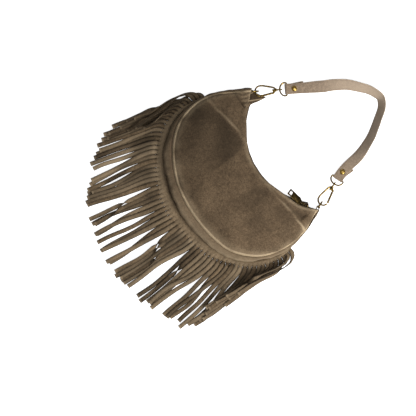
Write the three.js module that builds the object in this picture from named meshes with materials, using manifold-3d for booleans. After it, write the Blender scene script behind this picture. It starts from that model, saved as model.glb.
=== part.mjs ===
// Fringed suede shoulder bag, lying on its back panel.
// Millimetres. Origin: centre of the bounding box, on the surface it lies on.
// +X runs from the left ear to the right ear, +Y from the fringe to the strap, +Z up.

import * as THREE from 'three';
import { mergeVertices } from 'three/addons/utils/BufferGeometryUtils.js';
import Module from 'manifold-3d';

const wasm = await Module();
wasm.setup();

// ---------------------------------------------------------------- dimensions

const SUEDE = 1.3;                 // thickness of the body suede
const GUSSET_GAP = 1.5;            // front panel edge to the middle of the gusset
const FRONT_BULGE = 11.5;          // how far the filled front stands up between its edges

// Right half of each outline, from the centre line to the right ear (x, y).
const FRONT_TOP = [[0, 24.5], [19.6, 25.8], [36.3, 30.0], [54.5, 39.0], [71.1, 49.5], [86.9, 61.6], [98.0, 70.3]];
const BACK_TOP = [[0, 29.2], [19.6, 30.5], [36.3, 34.8], [54.5, 43.5], [71.1, 53.7], [86.9, 65.6], [101.1, 76.6]];
const BACK_TONGUE = [[-101.5, 77.6], [-94, 86.4], [-86.2, 95.2], [-86.8, 80.7], [-88.2, 68.5]];   // free tip of the back panel at the left ear
const FRONT_SEAM = [[0, -95.1], [28.4, -93.7], [56.9, -87.7], [82.2, -78.2], [104.3, -63.2], [121.7, -41.9],
  [131.9, -18.2], [134.3, 4.0], [131.5, 26.9], [124.0, 46.6], [116.9, 60.8], [110.6, 73.5]];
const BACK_SEAM = [[0, -109.0], [31.6, -106.3], [63.2, -97.2], [86.9, -85.3], [106.7, -70.3], [122.5, -49.8],
  [131.9, -26.1], [134.8, -0.8], [132.7, 24.5], [125.6, 46.6], [118.5, 61.6], [111.5, 75.1]];
const FRINGE_HEADER = [[0, -128.8], [31, -126], [56, -118.5], [80, -107.5], [99, -94.5], [114, -80.5], [126.5, -66],
  [134.5, -50.5], [139, -33], [141.5, -15], [141, 0], [138, 11]];
const FRINGE_TIPS = [[0, -256.3], [19, -254.4], [52.1, -245.7], [74.3, -239.4], [90.1, -231.5], [115.3, -220.4],
  [132.7, -206.2], [150.1, -188.8], [158, -173], [164.3, -149.3]];

// Heights along the outlines, as [fraction of the half outline, z].
const FRONT_TOP_Z = [[0, 40], [0.28, 38], [0.5, 35], [0.72, 31], [0.88, 27.5], [1, 25]];
const FRONT_SEAM_Z = [[0, 30], [0.35, 28.5], [0.62, 25.5], [0.85, 23.5], [1, 22.5]];

// Fringe
const FRINGE_THICK = 1.5;
const FRINGE_FINGERS = 46;         // slit tongues across the hanging part
const FRINGE_SIDE = 0.17;          // share of the header at each side that hangs as one bunch
const FRINGE_FILL = 0.84;          // tongue width over pitch

// Zip, laid along a circular arc in the mouth
const ZIP_CENTRE = [0, 144.1];
const ZIP_R = 124.8;
const ZIP_Z = 11;
const ZIP_TILT = Math.PI / 4;
const ZIP_HALF = 51 * Math.PI / 180;
const SLIDER_AT = 46.5 * Math.PI / 180;
const PULL_LIFT = 38 * Math.PI / 180;
const PULL_LENGTH = 33;
const PULL_HALF = 5;
const PULL_THICK = 1.2;
const PULL_ROLL = 35 * Math.PI / 180;   // the loose plate has rolled over to lie flatter
const CROWN_N = 4.8;               // height of the crown's hole over the zip

// Hardware at each ear: origin at the swivel, local x towards the ear
const HW_POINT = [85.8, 119.4];
const HW_DIR = [0.436, -0.9];
const HW_Z = 8.4;
const WIRE = 1.3;                  // ring wire radius
const STRAP_RING_BAR = -11;
const STRAP_RING_HALF = 10.4;
const BODY_RING_BAR = 44.5;
const BODY_RING_ARC = 33.8;
const BODY_RING_HALF = 7.2;
const BODY_RING_Z = 9.0;
const HOOK_WIRE = 1.4;
const HOOK_BOW = [30.5, 8.2];      // centre x and radius of the hook's bow
const GATE_PIVOT = [10.6, 4.4];
const GATE_R = 2.0;
const PIN_R = 0.7;

// Strap
const STRAP_W = 19;
const STRAP_END_W = 16.6;
const STRAP_T = 1.4;
const STRAP_FOLD = 2.35;           // radius of the fold round the ring bar, to the middle of the suede
const RIVET_AT = 12;
const STRAP_LINE = [[-81.0, 129.3], [-76.64, 138.3], [-72.28, 147.3], [-64.0, 165.3], [-56.7, 180.9], [-49.9, 196.9], [-42.0, 211.9],
  [-31.1, 225.5], [-18.5, 238.1], [-5.5, 247.4], [4.7, 250.7], [15.0, 247.3], [25.4, 237.6], [37.1, 223.9],
  [48.7, 209.2], [58.8, 192.4], [67.4, 172.8], [73.0, 148.6], [76.64, 138.3], [81.0, 129.3]];
const STRAP_TILT = [[0, 0], [0.1, 0], [0.18, 6], [0.35, 25], [0.5, 62], [0.65, 58], [0.8, 46], [0.9, 10], [0.93, 0], [1, 0]];

// ---------------------------------------------------------------- materials

const suede = () => new THREE.MeshStandardMaterial({ color: 0x6b5a47, roughness: 0.95, metalness: 0 });
const strapSuede = () => new THREE.MeshStandardMaterial({ color: 0x8a7663, roughness: 0.95, metalness: 0 });
const brass = () => new THREE.MeshStandardMaterial({ color: 0x8f7636, roughness: 0.35, metalness: 1 });
const darkBrass = () => new THREE.MeshStandardMaterial({ color: 0x44361e, roughness: 0.4, metalness: 1 });
const tape = () => new THREE.MeshStandardMaterial({ color: 0x4a3d30, roughness: 0.9, metalness: 0 });

// ---------------------------------------------------------------- helpers

const V = (x, y, z = 0) => new THREE.Vector3(x, y, z);
const Z = V(0, 0, 1);

// A closed triangle mesh from points and faces, turned so that its faces point out.
function solidGeometry(points, faces) {
  let volume = 0;
  for (const [a, b, c] of faces) volume += points[a].dot(points[b].clone().cross(points[c]));
  const index = [];
  for (const [a, b, c] of faces) { if (volume > 0) index.push(a, b, c); else index.push(a, c, b); }
  const g = new THREE.BufferGeometry();
  g.setAttribute('position', new THREE.Float32BufferAttribute(points.flatMap((p) => [p.x, p.y, p.z]), 3));
  g.setIndex(index);
  g.computeVertexNormals();
  return g;
}

// Sections of equal point count joined in a row, with flat ends, or joined into a loop.
function loft(sections, closed = false) {
  const n = sections[0].length, m = sections.length;
  const points = sections.flat();
  const faces = [];
  const id = (i, k) => (i % m) * n + (k % n);
  for (let i = 0; i < (closed ? m : m - 1); i++) {
    for (let k = 0; k < n; k++) {
      faces.push([id(i, k), id(i + 1, k), id(i + 1, k + 1)], [id(i, k), id(i + 1, k + 1), id(i, k + 1)]);
    }
  }
  if (!closed) {
    for (let k = 1; k < n - 1; k++) {
      faces.push([0, k, k + 1]);
      faces.push([id(m - 1, 0), id(m - 1, k + 1), id(m - 1, k)]);
    }
  }
  return solidGeometry(points, faces);
}

// A sheet of even thickness around a grid of points.
function sheet(P, t) {
  const ni = P.length, nj = P[0].length;
  const points = [], faces = [];
  for (const side of [-1, 1]) {
    for (let i = 0; i < ni; i++) {
      for (let j = 0; j < nj; j++) {
        const du = P[Math.min(i + 1, ni - 1)][j].clone().sub(P[Math.max(i - 1, 0)][j]);
        const dv = P[i][Math.min(j + 1, nj - 1)].clone().sub(P[i][Math.max(j - 1, 0)]);
        points.push(P[i][j].clone().addScaledVector(du.cross(dv).normalize(), side * t / 2));
      }
    }
  }
  const id = (s, i, j) => (s * ni + i) * nj + j;
  const quad = (a, b, c, d) => faces.push([a, b, c], [a, c, d]);
  for (let i = 0; i < ni - 1; i++) {
    for (let j = 0; j < nj - 1; j++) {
      quad(id(1, i, j), id(1, i + 1, j), id(1, i + 1, j + 1), id(1, i, j + 1));
      quad(id(0, i, j), id(0, i, j + 1), id(0, i + 1, j + 1), id(0, i + 1, j));
    }
    quad(id(0, i, 0), id(0, i + 1, 0), id(1, i + 1, 0), id(1, i, 0));
    quad(id(1, i, nj - 1), id(1, i + 1, nj - 1), id(0, i + 1, nj - 1), id(0, i, nj - 1));
  }
  for (let j = 0; j < nj - 1; j++) {
    quad(id(1, 0, j), id(1, 0, j + 1), id(0, 0, j + 1), id(0, 0, j));
    quad(id(0, ni - 1, j), id(0, ni - 1, j + 1), id(1, ni - 1, j + 1), id(1, ni - 1, j));
  }
  return solidGeometry(points, faces);
}

// Round wire along points that lie in one plane with the given normal.
function wire(points, radius, normal, { closed = false, sides = 8 } = {}) {
  const m = points.length;
  const sections = points.map((p, i) => {
    const a = points[closed ? (i + m - 1) % m : Math.max(i - 1, 0)];
    const b = points[closed ? (i + 1) % m : Math.min(i + 1, m - 1)];
    const across = normal.clone().cross(b.clone().sub(a)).normalize();
    const r = typeof radius === 'function' ? radius(i / (m - 1)) : radius;
    return Array.from({ length: sides }, (_, k) => {
      const q = (k + 0.5) / sides * 2 * Math.PI;
      return p.clone().addScaledVector(across, r * Math.cos(q)).addScaledVector(normal, r * Math.sin(q));
    });
  });
  return loft(sections, closed);
}

function extrude(outline, z0, z1, holes = []) {
  const shape = new THREE.Shape(outline.map(([x, y]) => new THREE.Vector2(x, y)));
  for (const h of holes) shape.holes.push(new THREE.Path(h.map(([x, y]) => new THREE.Vector2(x, y))));
  const g = new THREE.ExtrudeGeometry(shape, { depth: z1 - z0, bevelEnabled: false });
  g.translate(0, 0, z0);
  return g;
}

const circle = (x, y, r, n = 16) => Array.from({ length: n }, (_, k) => [
  x + r * Math.cos(2 * Math.PI * k / n), y + r * Math.sin(2 * Math.PI * k / n)]);

// Booleans
function toSolid(geometry) {
  let g = geometry.index ? geometry.clone() : geometry.clone();
  g.deleteAttribute('normal');
  g.deleteAttribute('uv');
  g = mergeVertices(g, 1e-4);
  return new wasm.Manifold(new wasm.Mesh({
    numProp: 3,
    vertProperties: new Float32Array(g.attributes.position.array),
    triVerts: new Uint32Array(g.index.array),
  }));
}
function toGeometry(solid) {
  const m = solid.getMesh();
  const g = new THREE.BufferGeometry();
  g.setAttribute('position', new THREE.BufferAttribute(new Float32Array(m.vertProperties), 3));
  g.setIndex(new THREE.BufferAttribute(new Uint32Array(m.triVerts), 1));
  g.computeVertexNormals();
  return g;
}
const join = (...gs) => toGeometry(gs.map(toSolid).reduce((a, b) => a.add(b)));
const cut = (g, ...tools) => toGeometry(tools.map(toSolid).reduce((a, b) => a.subtract(b), toSolid(g)));

// A value read off a list of [position, value] with smooth steps between.
function along(list, s) {
  for (let i = 1; i < list.length; i++) {
    if (s <= list[i][0]) {
      const f = (s - list[i - 1][0]) / (list[i][0] - list[i - 1][0]);
      return list[i - 1][1] + (list[i][1] - list[i - 1][1]) * f;
    }
  }
  return list[list.length - 1][1];
}

// A mirrored outline, read by s from -1 (left ear) to 1 (right ear).
function outline(half) {
  const curve = new THREE.CatmullRomCurve3(half.map(([x, y]) => V(x, y)), false, 'centripetal');
  curve.arcLengthDivisions = 400;
  const at = (s) => {
    const p = curve.getPointAt(Math.min(1, Math.abs(s)));
    return V(s < 0 ? -p.x : p.x, p.y);
  };
  // The outward normal in plan: away from the bag for the seams.
  const out = (s) => {
    const e = 0.004;
    const a = at(Math.max(-1, s - e)), b = at(Math.min(1, s + e));
    const t = b.sub(a).normalize();
    return V(t.y, -t.x);
  };
  return { at, out };
}

const frontTop = outline(FRONT_TOP);
const backTop = outline(BACK_TOP);
const frontSeam = outline(FRONT_SEAM);
const backSeam = outline(BACK_SEAM);
const header = outline(FRINGE_HEADER);
const tips = outline(FRINGE_TIPS);

const bag = new THREE.Group();
const add = (parent, name, geometry, material) => {
  const mesh = new THREE.Mesh(geometry, material);
  mesh.name = name;
  parent.add(mesh);
  return mesh;
};
const steps = (n) => Array.from({ length: n + 1 }, (_, i) => i / n);

// ---------------------------------------------------------------- body panels

// Front panel: one piece of suede, domed by what the bag holds.
{
  const P = steps(40).map((q) => {
    const s = q * 2 - 1;
    const a = frontTop.at(s).setZ(along(FRONT_TOP_Z, Math.abs(s)));
    const b = frontSeam.at(s).setZ(along(FRONT_SEAM_Z, Math.abs(s)));
    return steps(9).map((v) => {
      const p = a.clone().lerp(b, v);
      p.z += FRONT_BULGE * Math.sin(Math.PI * v) * (1 - Math.abs(s) ** 2.5);
      return p;
    });
  });
  add(bag, 'front_panel', sheet(P, SUEDE), suede());
}

// Back panel: flat, on the ground.
{
  const pts = steps(56).map((q) => backSeam.at(q * 2 - 1));
  const top = steps(28).map((q) => backTop.at(1 - q * 2)).filter((p) => p.x > -80);
  const tongue = [...BACK_TONGUE].reverse().map(([x, y]) => V(x, y));
  add(bag, 'back_panel', extrude([...pts, ...top, ...tongue].map((p) => [p.x, p.y]), 0, SUEDE), suede());
}

// Bottom gusset: the band that runs from ear to ear round the bottom, bulging outwards.
{
  const P = steps(52).map((q) => {
    const s = q * 2 - 1;
    const out = frontSeam.out(s);
    const top = frontSeam.at(s).addScaledVector(out, GUSSET_GAP).setZ(along(FRONT_SEAM_Z, Math.abs(s)) - 0.4);
    const foot = backSeam.at(s).setZ(2.5);
    const bulge = 4.2 - 2.7 * Math.abs(s) ** 2;
    return steps(5).map((v) => top.clone().lerp(foot, v).addScaledVector(out, bulge * Math.sin(Math.PI * v)));
  });
  add(bag, 'bottom_gusset', sheet(P, SUEDE), suede());
}

// ---------------------------------------------------------------- fringe

// One strip of suede sewn in under the gusset: a plain header, slit into tongues.
{
  const inner = steps(48).map((q) => {
    const s = (q * 2 - 1) * 0.72;
    return backSeam.at(s).addScaledVector(backSeam.out(s), 0.35);
  });
  const outer = [];
  const lobe = (a, b) => {
    outer.push(header.at(a), tips.at(a).lerp(header.at(a), 0.004), tips.at(b).lerp(header.at(b), 0.004), header.at(b));
  };
  // side bunch, tongues, side bunch, from right to left
  const edge = 1 - 2 * FRINGE_SIDE;
  const side = (from, to) => {
    outer.push(header.at(from));
    for (const q of steps(6)) outer.push(tips.at(from + (to - from) * q));
    outer.push(header.at(to));
  };
  side(1, edge + 0.012);
  for (let i = 0; i < FRINGE_FINGERS; i++) {
    const a = edge - 2 * edge * i / FRINGE_FINGERS;
    lobe(a, a - 2 * edge * FRINGE_FILL / FRINGE_FINGERS);
  }
  side(-edge - 0.004, -1);
  add(bag, 'fringe', extrude([...inner, ...outer].map((p) => [p.x, p.y]), 0, FRINGE_THICK), suede());
}

// ---------------------------------------------------------------- zip

const zipFrame = (a) => {
  const er = V(Math.sin(a), -Math.cos(a));
  const along_ = V(Math.cos(a), Math.sin(a));
  const n = er.clone().multiplyScalar(-Math.cos(ZIP_TILT)).addScaledVector(Z, Math.sin(ZIP_TILT));
  const l = er.clone().multiplyScalar(Math.sin(ZIP_TILT)).addScaledVector(Z, Math.cos(ZIP_TILT));
  const o = V(ZIP_CENTRE[0], ZIP_CENTRE[1], ZIP_Z).addScaledVector(er, ZIP_R);
  return { o, er, t: along_, n, l };
};
// A section given in (l, n), swept along the zip from a0 to a1.
const zipSweep = (section, a0, a1, count) => loft(steps(count).map((q) => {
  const f = zipFrame(a0 + (a1 - a0) * q);
  return section.map(([l, n]) => f.o.clone().addScaledVector(f.l, l).addScaledVector(f.n, n));
}));
const rect = (l0, l1, n0, n1) => [[l0, n0], [l1, n0], [l1, n1], [l0, n1]];

for (const [name, s] of [['front', 1], ['back', -1]]) {
  add(bag, `zip_tape_${name}`, zipSweep(rect(s * 3.2, s * 6.8, -0.35, 0.35), -ZIP_HALF, ZIP_HALF, 36), tape());
  add(bag, `zip_teeth_${name}`, zipSweep(rect(s * 0.7, s * 2.9, -1, 1), -ZIP_HALF * 0.97, ZIP_HALF * 0.97, 36), brass());
}
for (const [name, s] of [['left', -1], ['right', 1]]) {
  const a0 = s * ZIP_HALF * 0.98, a1 = s * ZIP_HALF * 0.998;
  add(bag, `zip_stop_${name}`, zipSweep(rect(-2.9, 2.9, -1.2, 1.2), Math.min(a0, a1), Math.max(a0, a1), 1), brass());
}

// Facings: turned-in suede between the zip and each top edge.
{
  const front = [], back = [];
  for (const q of steps(34)) {
    const s = (q * 2 - 1) * 0.985;
    const f = zipFrame(s * ZIP_HALF);
    const topEdge = frontTop.at(s);
    topEdge.z = along(FRONT_TOP_Z, Math.abs(s)) - 1.9;
    const lowEdge = backTop.at(s * 0.93).setZ(2.3);
    const at = (l, n) => f.o.clone().addScaledVector(f.l, l).addScaledVector(f.n, n);
    const fold = at(8.2, 1.9);
    front.push([at(5.4, 1.75), fold, fold.clone().lerp(topEdge, 0.5), topEdge]);
    back.push([at(-5.4, 1.75), at(-8.2, 1.75), lowEdge]);
  }
  add(bag, 'zip_facing_front', sheet(front, SUEDE), suede());
  add(bag, 'zip_facing_back', sheet(back, SUEDE), suede());
}

// Slider: two plates joined by a post, lips round the tape, and a crown for the pull.
{
  const half = 5.5 / ZIP_R;
  const box = (l0, l1, n0, n1, w) => zipSweep(rect(l0, l1, n0, n1), SLIDER_AT - w, SLIDER_AT + w, 2);
  const f = zipFrame(SLIDER_AT);
  const crown = extrude([[-4, 2.2], [4, 2.2], [4, 5.6], [2.4, 7.6], [-2.4, 7.6], [-4, 5.6]], -0.7, 0.7, [circle(0, CROWN_N, 2.0, 16)]);
  crown.applyMatrix4(new THREE.Matrix4().makeBasis(f.t, f.n, f.t.clone().cross(f.n)).setPosition(f.o));
  const slider = join(
    box(-4.6, 4.6, 1.25, 2.4, half), box(-4.6, 4.6, -2.4, -1.25, half), box(-0.4, 0.4, -2, 2, 1.5 / ZIP_R),
    box(3.9, 4.6, 0.65, 1.6, half), box(-4.6, -3.9, 0.65, 1.6, half),
    box(3.9, 4.6, -1.6, -0.65, half), box(-4.6, -3.9, -1.6, -0.65, half), crown);
  add(bag, 'zip_slider', slider, darkBrass());
}

// Pull: a plate with an eye round the crown and a square window at its far end.
{
  const f = zipFrame(SLIDER_AT);
  const d = f.t.clone().multiplyScalar(-Math.cos(PULL_LIFT)).addScaledVector(f.n, Math.sin(PULL_LIFT));
  const g = extrude(
    [[-0.9, -2.8], [6.4, -3.0], [8.6, -PULL_HALF], [PULL_LENGTH, -PULL_HALF], [PULL_LENGTH, PULL_HALF], [8.6, PULL_HALF], [6.4, 3.0], [-0.9, 2.8]],
    -PULL_THICK / 2, PULL_THICK / 2,
    [[[0.9, -1.5], [0.9, 1.5], [6.0, 1.5], [6.0, -1.5]],
      [[PULL_LENGTH - 8.2, -3.1], [PULL_LENGTH - 8.2, 3.1], [PULL_LENGTH - 2, 3.1], [PULL_LENGTH - 2, -3.1]]]);
  const mesh = add(bag, 'zip_pull', g, darkBrass());
  const face = d.clone().cross(f.l);
  const across = f.l.clone().multiplyScalar(Math.cos(PULL_ROLL)).addScaledVector(face, -Math.sin(PULL_ROLL));
  const m = new THREE.Matrix4().makeBasis(d, across, d.clone().cross(across));
  mesh.quaternion.setFromRotationMatrix(m);
  mesh.position.copy(f.o).addScaledVector(f.n, CROWN_N);
}

// ---------------------------------------------------------------- rings, hooks and tabs

// A D in the plane of (x, c): a straight bar at xb, bowed out to xa.
function dLoop(xb, xa, half, place) {
  const c = 2.2, sign = Math.sign(xa - xb);
  const pts = [];
  for (const q of steps(4)) pts.push([xb, -half + c + (2 * half - 2 * c) * q]);
  pts.push([xb + sign * 0.65, half - 0.65]);
  const reach = Math.abs(xa - xb);
  for (const q of steps(10)) {
    const a = Math.PI / 2 - Math.PI * q;
    const start = 0.24;
    const r = start + (1 - start) * Math.cos(a);
    pts.push([xb + sign * reach * r, half * Math.sin(a)]);
  }
  pts.push([xb + sign * 0.65, -half + 0.65]);
  return pts.map(([x, k]) => place(x, k));
}

for (const [name, s] of [['left', -1], ['right', 1]]) {
  const g = new THREE.Group();
  g.position.set(s * HW_POINT[0], HW_POINT[1], HW_Z);
  g.rotation.z = Math.atan2(HW_DIR[1], s * HW_DIR[0]);
  bag.add(g);

  // Ring in the strap's folded end, flat
  add(g, `strap_ring_${name}`,
    wire(dLoop(STRAP_RING_BAR, 0, STRAP_RING_HALF, (x, k) => V(x, k, 0)), WIRE, V(0, 0, 1), { closed: true }), brass());

  // Swivel: an eye round the ring, with a headed stem through the hook's base
  const eye = wire(Array.from({ length: 14 }, (_, k) => {
    const a = 2 * Math.PI * k / 14;
    return V(2.9 * Math.cos(a), 0, 2.9 * Math.sin(a));
  }), 1.05, V(0, 1, 0), { closed: true });
  const stem = new THREE.LatheGeometry([[0, 3.1], [1.25, 3.1], [1.25, 10.2], [1.9, 10.2], [1.9, 11.6], [0, 11.6]]
    .map(([r, h]) => new THREE.Vector2(r, h)), 12);
  stem.rotateZ(-Math.PI / 2);
  add(g, `hook_${name}_swivel`, join(eye, stem), brass());

  // Hook body: base with the swivel bore, spine and bow, and cheeks for the gate
  const [bx, br] = HOOK_BOW;
  const path = [[7.5, -2.6], [9.5, -3.9], [12, -4.7], [15, -5.5], [18, -6.2], [21, -6.9], [24, -7.6], [27, -8.1]];
  for (const q of steps(12)) {
    const a = (-84 + 162 * q) * Math.PI / 180;
    path.push([bx + br * Math.cos(a), br * Math.sin(a)]);
  }
  const spine = wire(path.map(([x, y]) => V(x, y, 0)), HOOK_WIRE, V(0, 0, 1));
  const base = extrude([[5, -3], [9.6, -3.4], [9.6, 2.2], [5, 2.2]], -2.6, 2.6);
  const cheekShape = [[6.2, 0.8], [9.4, 0.8], [12.4, 3.4], [12.4, 5.4], [11.4, 6.3], [9.8, 6.3], [6.2, 2.2]];
  const cheeks = [extrude(cheekShape, 2.15, 2.95), extrude(cheekShape, -2.95, -2.15)];
  const pinHole = extrude(circle(GATE_PIVOT[0], GATE_PIVOT[1], PIN_R + 0.3, 12), -4, 4);
  const bore = new THREE.CylinderGeometry(1.55, 1.55, 12, 14);
  bore.rotateZ(Math.PI / 2);
  bore.translate(6, 0, 0);
  const headRoom = new THREE.CylinderGeometry(2.3, 2.3, 3, 14);
  headRoom.rotateZ(Math.PI / 2);
  headRoom.translate(11.4, 0, 0);
  add(g, `hook_${name}_body`, cut(join(base, spine, ...cheeks), bore, headRoom, pinHole), brass());

  // Gate: a thumb barrel that turns on the pin and closes against the tip of the bow
  const end = V(31.0, 8.15), pivot = V(...GATE_PIVOT);
  const dir = end.clone().sub(pivot).normalize();
  const barrel = wire([1.85, 4, 8, 12, 16, end.distanceTo(pivot)].map((k) => pivot.clone().addScaledVector(dir, k)), GATE_R * 0.92, V(0, 0, 1), { sides: 10 });
  const root = extrude(circle(GATE_PIVOT[0], GATE_PIVOT[1], GATE_R, 16), -1.8, 0.4);
  add(g, `hook_${name}_gate`, cut(join(root, barrel), pinHole), brass());

  // Gate pin, headed at both ends, and the torsion spring wound round it
  const pin = new THREE.LatheGeometry([[0, -3.8], [1.3, -3.8], [1.3, -3.25], [PIN_R, -3.25], [PIN_R, 3.25], [1.3, 3.25], [1.3, 3.8], [0, 3.8]]
    .map(([r, h]) => new THREE.Vector2(r, h)), 10);
  pin.rotateX(Math.PI / 2);
  pin.translate(GATE_PIVOT[0], GATE_PIVOT[1], 0);
  add(g, `hook_${name}_pin`, pin, brass());
  const coil = steps(20).map((q) => {
    const a = q * 2 * Math.PI * 1.6 + 2.2;
    return V(GATE_PIVOT[0] + 1.3 * Math.cos(a), GATE_PIVOT[1] + 1.3 * Math.sin(a), 0.95 + 0.85 * q);
  });
  add(g, `hook_${name}_spring`, wire(coil, 0.2, V(0, 0, 1), { sides: 6 }), brass());

  // Ring at the ear, upright, its bar held in the side tab
  const zr = BODY_RING_Z - HW_Z;
  add(g, `body_ring_${name}`,
    wire(dLoop(BODY_RING_BAR, BODY_RING_ARC, BODY_RING_HALF, (x, k) => V(x, 0, zr + k)), WIRE, V(0, 1, 0), { closed: true }), brass());

  // Side tab: a strip of suede folded round the bar, its two ends sewn into the ear
  const mid = 2.35, leg = 0.85;
  const line = [[54.2, -leg], [49.6, -leg], [47.6, -1.5]];
  for (const q of steps(8)) {
    const a = -Math.PI * 0.3 - Math.PI * 1.4 * q;
    line.push([BODY_RING_BAR + mid * Math.cos(a), mid * Math.sin(a)]);
  }
  line.push([47.6, 1.5], [49.6, leg], [54.2, leg]);
  const sections = line.map(([x, y], i) => {
    const a = line[Math.max(i - 1, 0)], b = line[Math.min(i + 1, line.length - 1)];
    const len = Math.hypot(b[0] - a[0], b[1] - a[1]);
    const nx = -(b[1] - a[1]) / len, ny = (b[0] - a[0]) / len, h = SUEDE / 2;
    const lo = zr - 4.6, hi = zr + 4.6;
    return [V(x - nx * h, y - ny * h, lo), V(x + nx * h, y + ny * h, lo), V(x + nx * h, y + ny * h, hi), V(x - nx * h, y - ny * h, hi)];
  });
  add(g, `side_tab_${name}`, loft(sections), suede());
}

// ---------------------------------------------------------------- strap

// One strip, each end folded back under itself round its ring bar and riveted.
{
  const centre = new THREE.CatmullRomCurve3(STRAP_LINE.map(([x, y]) => V(x, y)), false, 'centripetal');
  centre.arcLengthDivisions = 800;
  const total = centre.getLength();
  const frames = [];
  const put = (p, b, n, w) => frames.push({ p, b, n, w });
  const END_MAIN = [[0, HW_Z + STRAP_FOLD], [7, HW_Z + 0.7], [12, HW_Z + 0.6], [17, HW_Z + 0.5], [26, HW_Z - 1.2], [44, 3.6], [66, 0.9]];
  const END_FLAP = [[0, HW_Z - STRAP_FOLD], [7, HW_Z - 1.5], [12, HW_Z - 1.5], [17, HW_Z - 1.5], [22, HW_Z - 1.9]];
  const across = (s) => { const t = centre.getTangentAt(s); return V(-t.y, t.x); };   // to the outside on the left leg
  const sect = [];
  const layer = (s, z, dz, w, tilt) => {
    const p = centre.getPointAt(s).setZ(z);
    const b = across(s).multiplyScalar(Math.cos(tilt)).addScaledVector(Z, Math.sin(tilt));
    const t = centre.getTangentAt(s).addScaledVector(Z, dz).normalize();
    sect.push({ p, b, t, w });
  };
  const slope = (list, d) => (along(list, d + 1) - along(list, d - 1)) / 2;
  // left flap, from its loose end to the fold
  for (const d of [22, 17, 12, 7, 3]) layer(d / total, along(END_FLAP, d), slope(END_FLAP, d), STRAP_END_W, 0);
  const flip = sect.length;
  const foldAt = (s, sign) => {
    const out = [];
    const t = centre.getTangentAt(s).multiplyScalar(sign);
    const o = centre.getPointAt(s).setZ(HW_Z);
    for (const q of steps(6)) {
      const a = -Math.PI / 2 - Math.PI * q;
      const p = o.clone().addScaledVector(t, STRAP_FOLD * Math.cos(a)).addScaledVector(Z, STRAP_FOLD * Math.sin(a));
      const dir = t.clone().multiplyScalar(Math.sin(a)).addScaledVector(Z, -Math.cos(a));
      out.push({ p, b: across(s), t: dir, w: STRAP_END_W });
    }
    return out;
  };
  for (const k of sect) k.t.negate();
  sect.push(...foldAt(0, 1));
  // main run
  const runs = [3, 7, 12, 17, 24, 32, 42, 54];
  const ds = [...runs];
  for (let d = 64; d < total - 60; d += 8.2) ds.push(d);
  ds.push(...runs.map((d) => total - d).reverse());
  const height = (d, tilt, w) => STRAP_T / 2 * Math.cos(tilt) + w / 2 * Math.abs(Math.sin(tilt)) + 0.15;
  const zAt = (d) => {
    const tilt = along(STRAP_TILT, d / total) * Math.PI / 180;
    const e = Math.min(d, total - d);
    return Math.max(along(END_MAIN, e), height(d, tilt, STRAP_W));
  };
  for (const d of ds) {
    const tilt = along(STRAP_TILT, d / total) * Math.PI / 180;
    const e = Math.min(d, total - d);
    const w = STRAP_END_W + (STRAP_W - STRAP_END_W) * Math.min(1, Math.max(0, (e - 20) / 30));
    layer(d / total, zAt(d), (zAt(d + 1) - zAt(d - 1)) / 2, w, tilt);
  }
  const right = foldAt(1, -1).reverse();
  for (const k of right) k.t.negate();
  sect.push(...right);
  for (const d of [3, 7, 12, 17, 22]) {
    layer(1 - d / total, along(END_FLAP, d), -slope(END_FLAP, d), STRAP_END_W, 0);
    sect[sect.length - 1].t.negate();
  }
  const sections = sect.map(({ p, b, t, w }) => {
    const n = t.clone().cross(b).normalize();
    const c = (u, v) => p.clone().addScaledVector(b, u * w / 2).addScaledVector(n, v * STRAP_T / 2);
    return [c(-1, -1), c(1, -1), c(1, 1), c(-1, 1)];
  });
  let strap = loft(sections);
  const rivets = [];
  for (const [name, s] of [['left', RIVET_AT / total], ['right', 1 - RIVET_AT / total]]) {
    const p = centre.getPointAt(s);
    rivets.push([name, p]);
  }
  strap = cut(strap, ...rivets.map(([, p]) => {
    const c = new THREE.CylinderGeometry(1.75, 1.75, 30, 12);
    c.rotateX(Math.PI / 2);
    c.translate(p.x, p.y, HW_Z);
    return c;
  }));
  add(bag, 'strap', strap, strapSuede());

  // Rivets: a domed cap over a headed post
  const lathe = (profile, p) => {
    const g = new THREE.LatheGeometry(profile.map(([r, h]) => new THREE.Vector2(r, h)), 16);
    g.rotateX(Math.PI / 2);
    g.translate(p.x, p.y, 0);
    return g;
  };
  const top = HW_Z + 0.6 + STRAP_T / 2 + 0.35, low = HW_Z - 1.5 - STRAP_T / 2 - 0.35;
  for (const [name, p] of rivets) {
    add(bag, `rivet_${name}_cap`, lathe([[0, top], [4.3, top], [4.3, top + 0.5], [3.4, top + 1.5], [1.8, top + 2.1], [0, top + 2.2]], p), brass());
    add(bag, `rivet_${name}_post`, lathe([[0, low - 1.2], [2.6, low - 1.1], [3.9, low - 0.5], [3.9, low], [1.4, low], [1.4, top - 0.3], [0, top - 0.3]], p), brass());
  }
}

export default bag;
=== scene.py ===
import math

import bmesh
import bpy
import numpy as np
from mathutils import Matrix, Vector


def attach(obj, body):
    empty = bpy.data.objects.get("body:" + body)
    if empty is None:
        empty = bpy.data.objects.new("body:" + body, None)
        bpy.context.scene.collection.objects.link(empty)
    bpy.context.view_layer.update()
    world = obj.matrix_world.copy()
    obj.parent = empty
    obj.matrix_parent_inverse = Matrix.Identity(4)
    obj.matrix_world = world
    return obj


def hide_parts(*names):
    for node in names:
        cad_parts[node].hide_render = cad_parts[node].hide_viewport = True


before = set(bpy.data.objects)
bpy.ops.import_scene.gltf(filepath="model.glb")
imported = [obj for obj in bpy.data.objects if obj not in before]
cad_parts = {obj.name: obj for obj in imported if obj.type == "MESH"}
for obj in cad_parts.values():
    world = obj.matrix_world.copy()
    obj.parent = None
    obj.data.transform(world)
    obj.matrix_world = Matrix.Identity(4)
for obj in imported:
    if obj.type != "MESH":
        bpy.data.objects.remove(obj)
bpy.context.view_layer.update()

MM = 0.001
scene = bpy.context.scene
rng = np.random.default_rng(11)

# ------------------------------------------------------------------ camera

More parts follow.
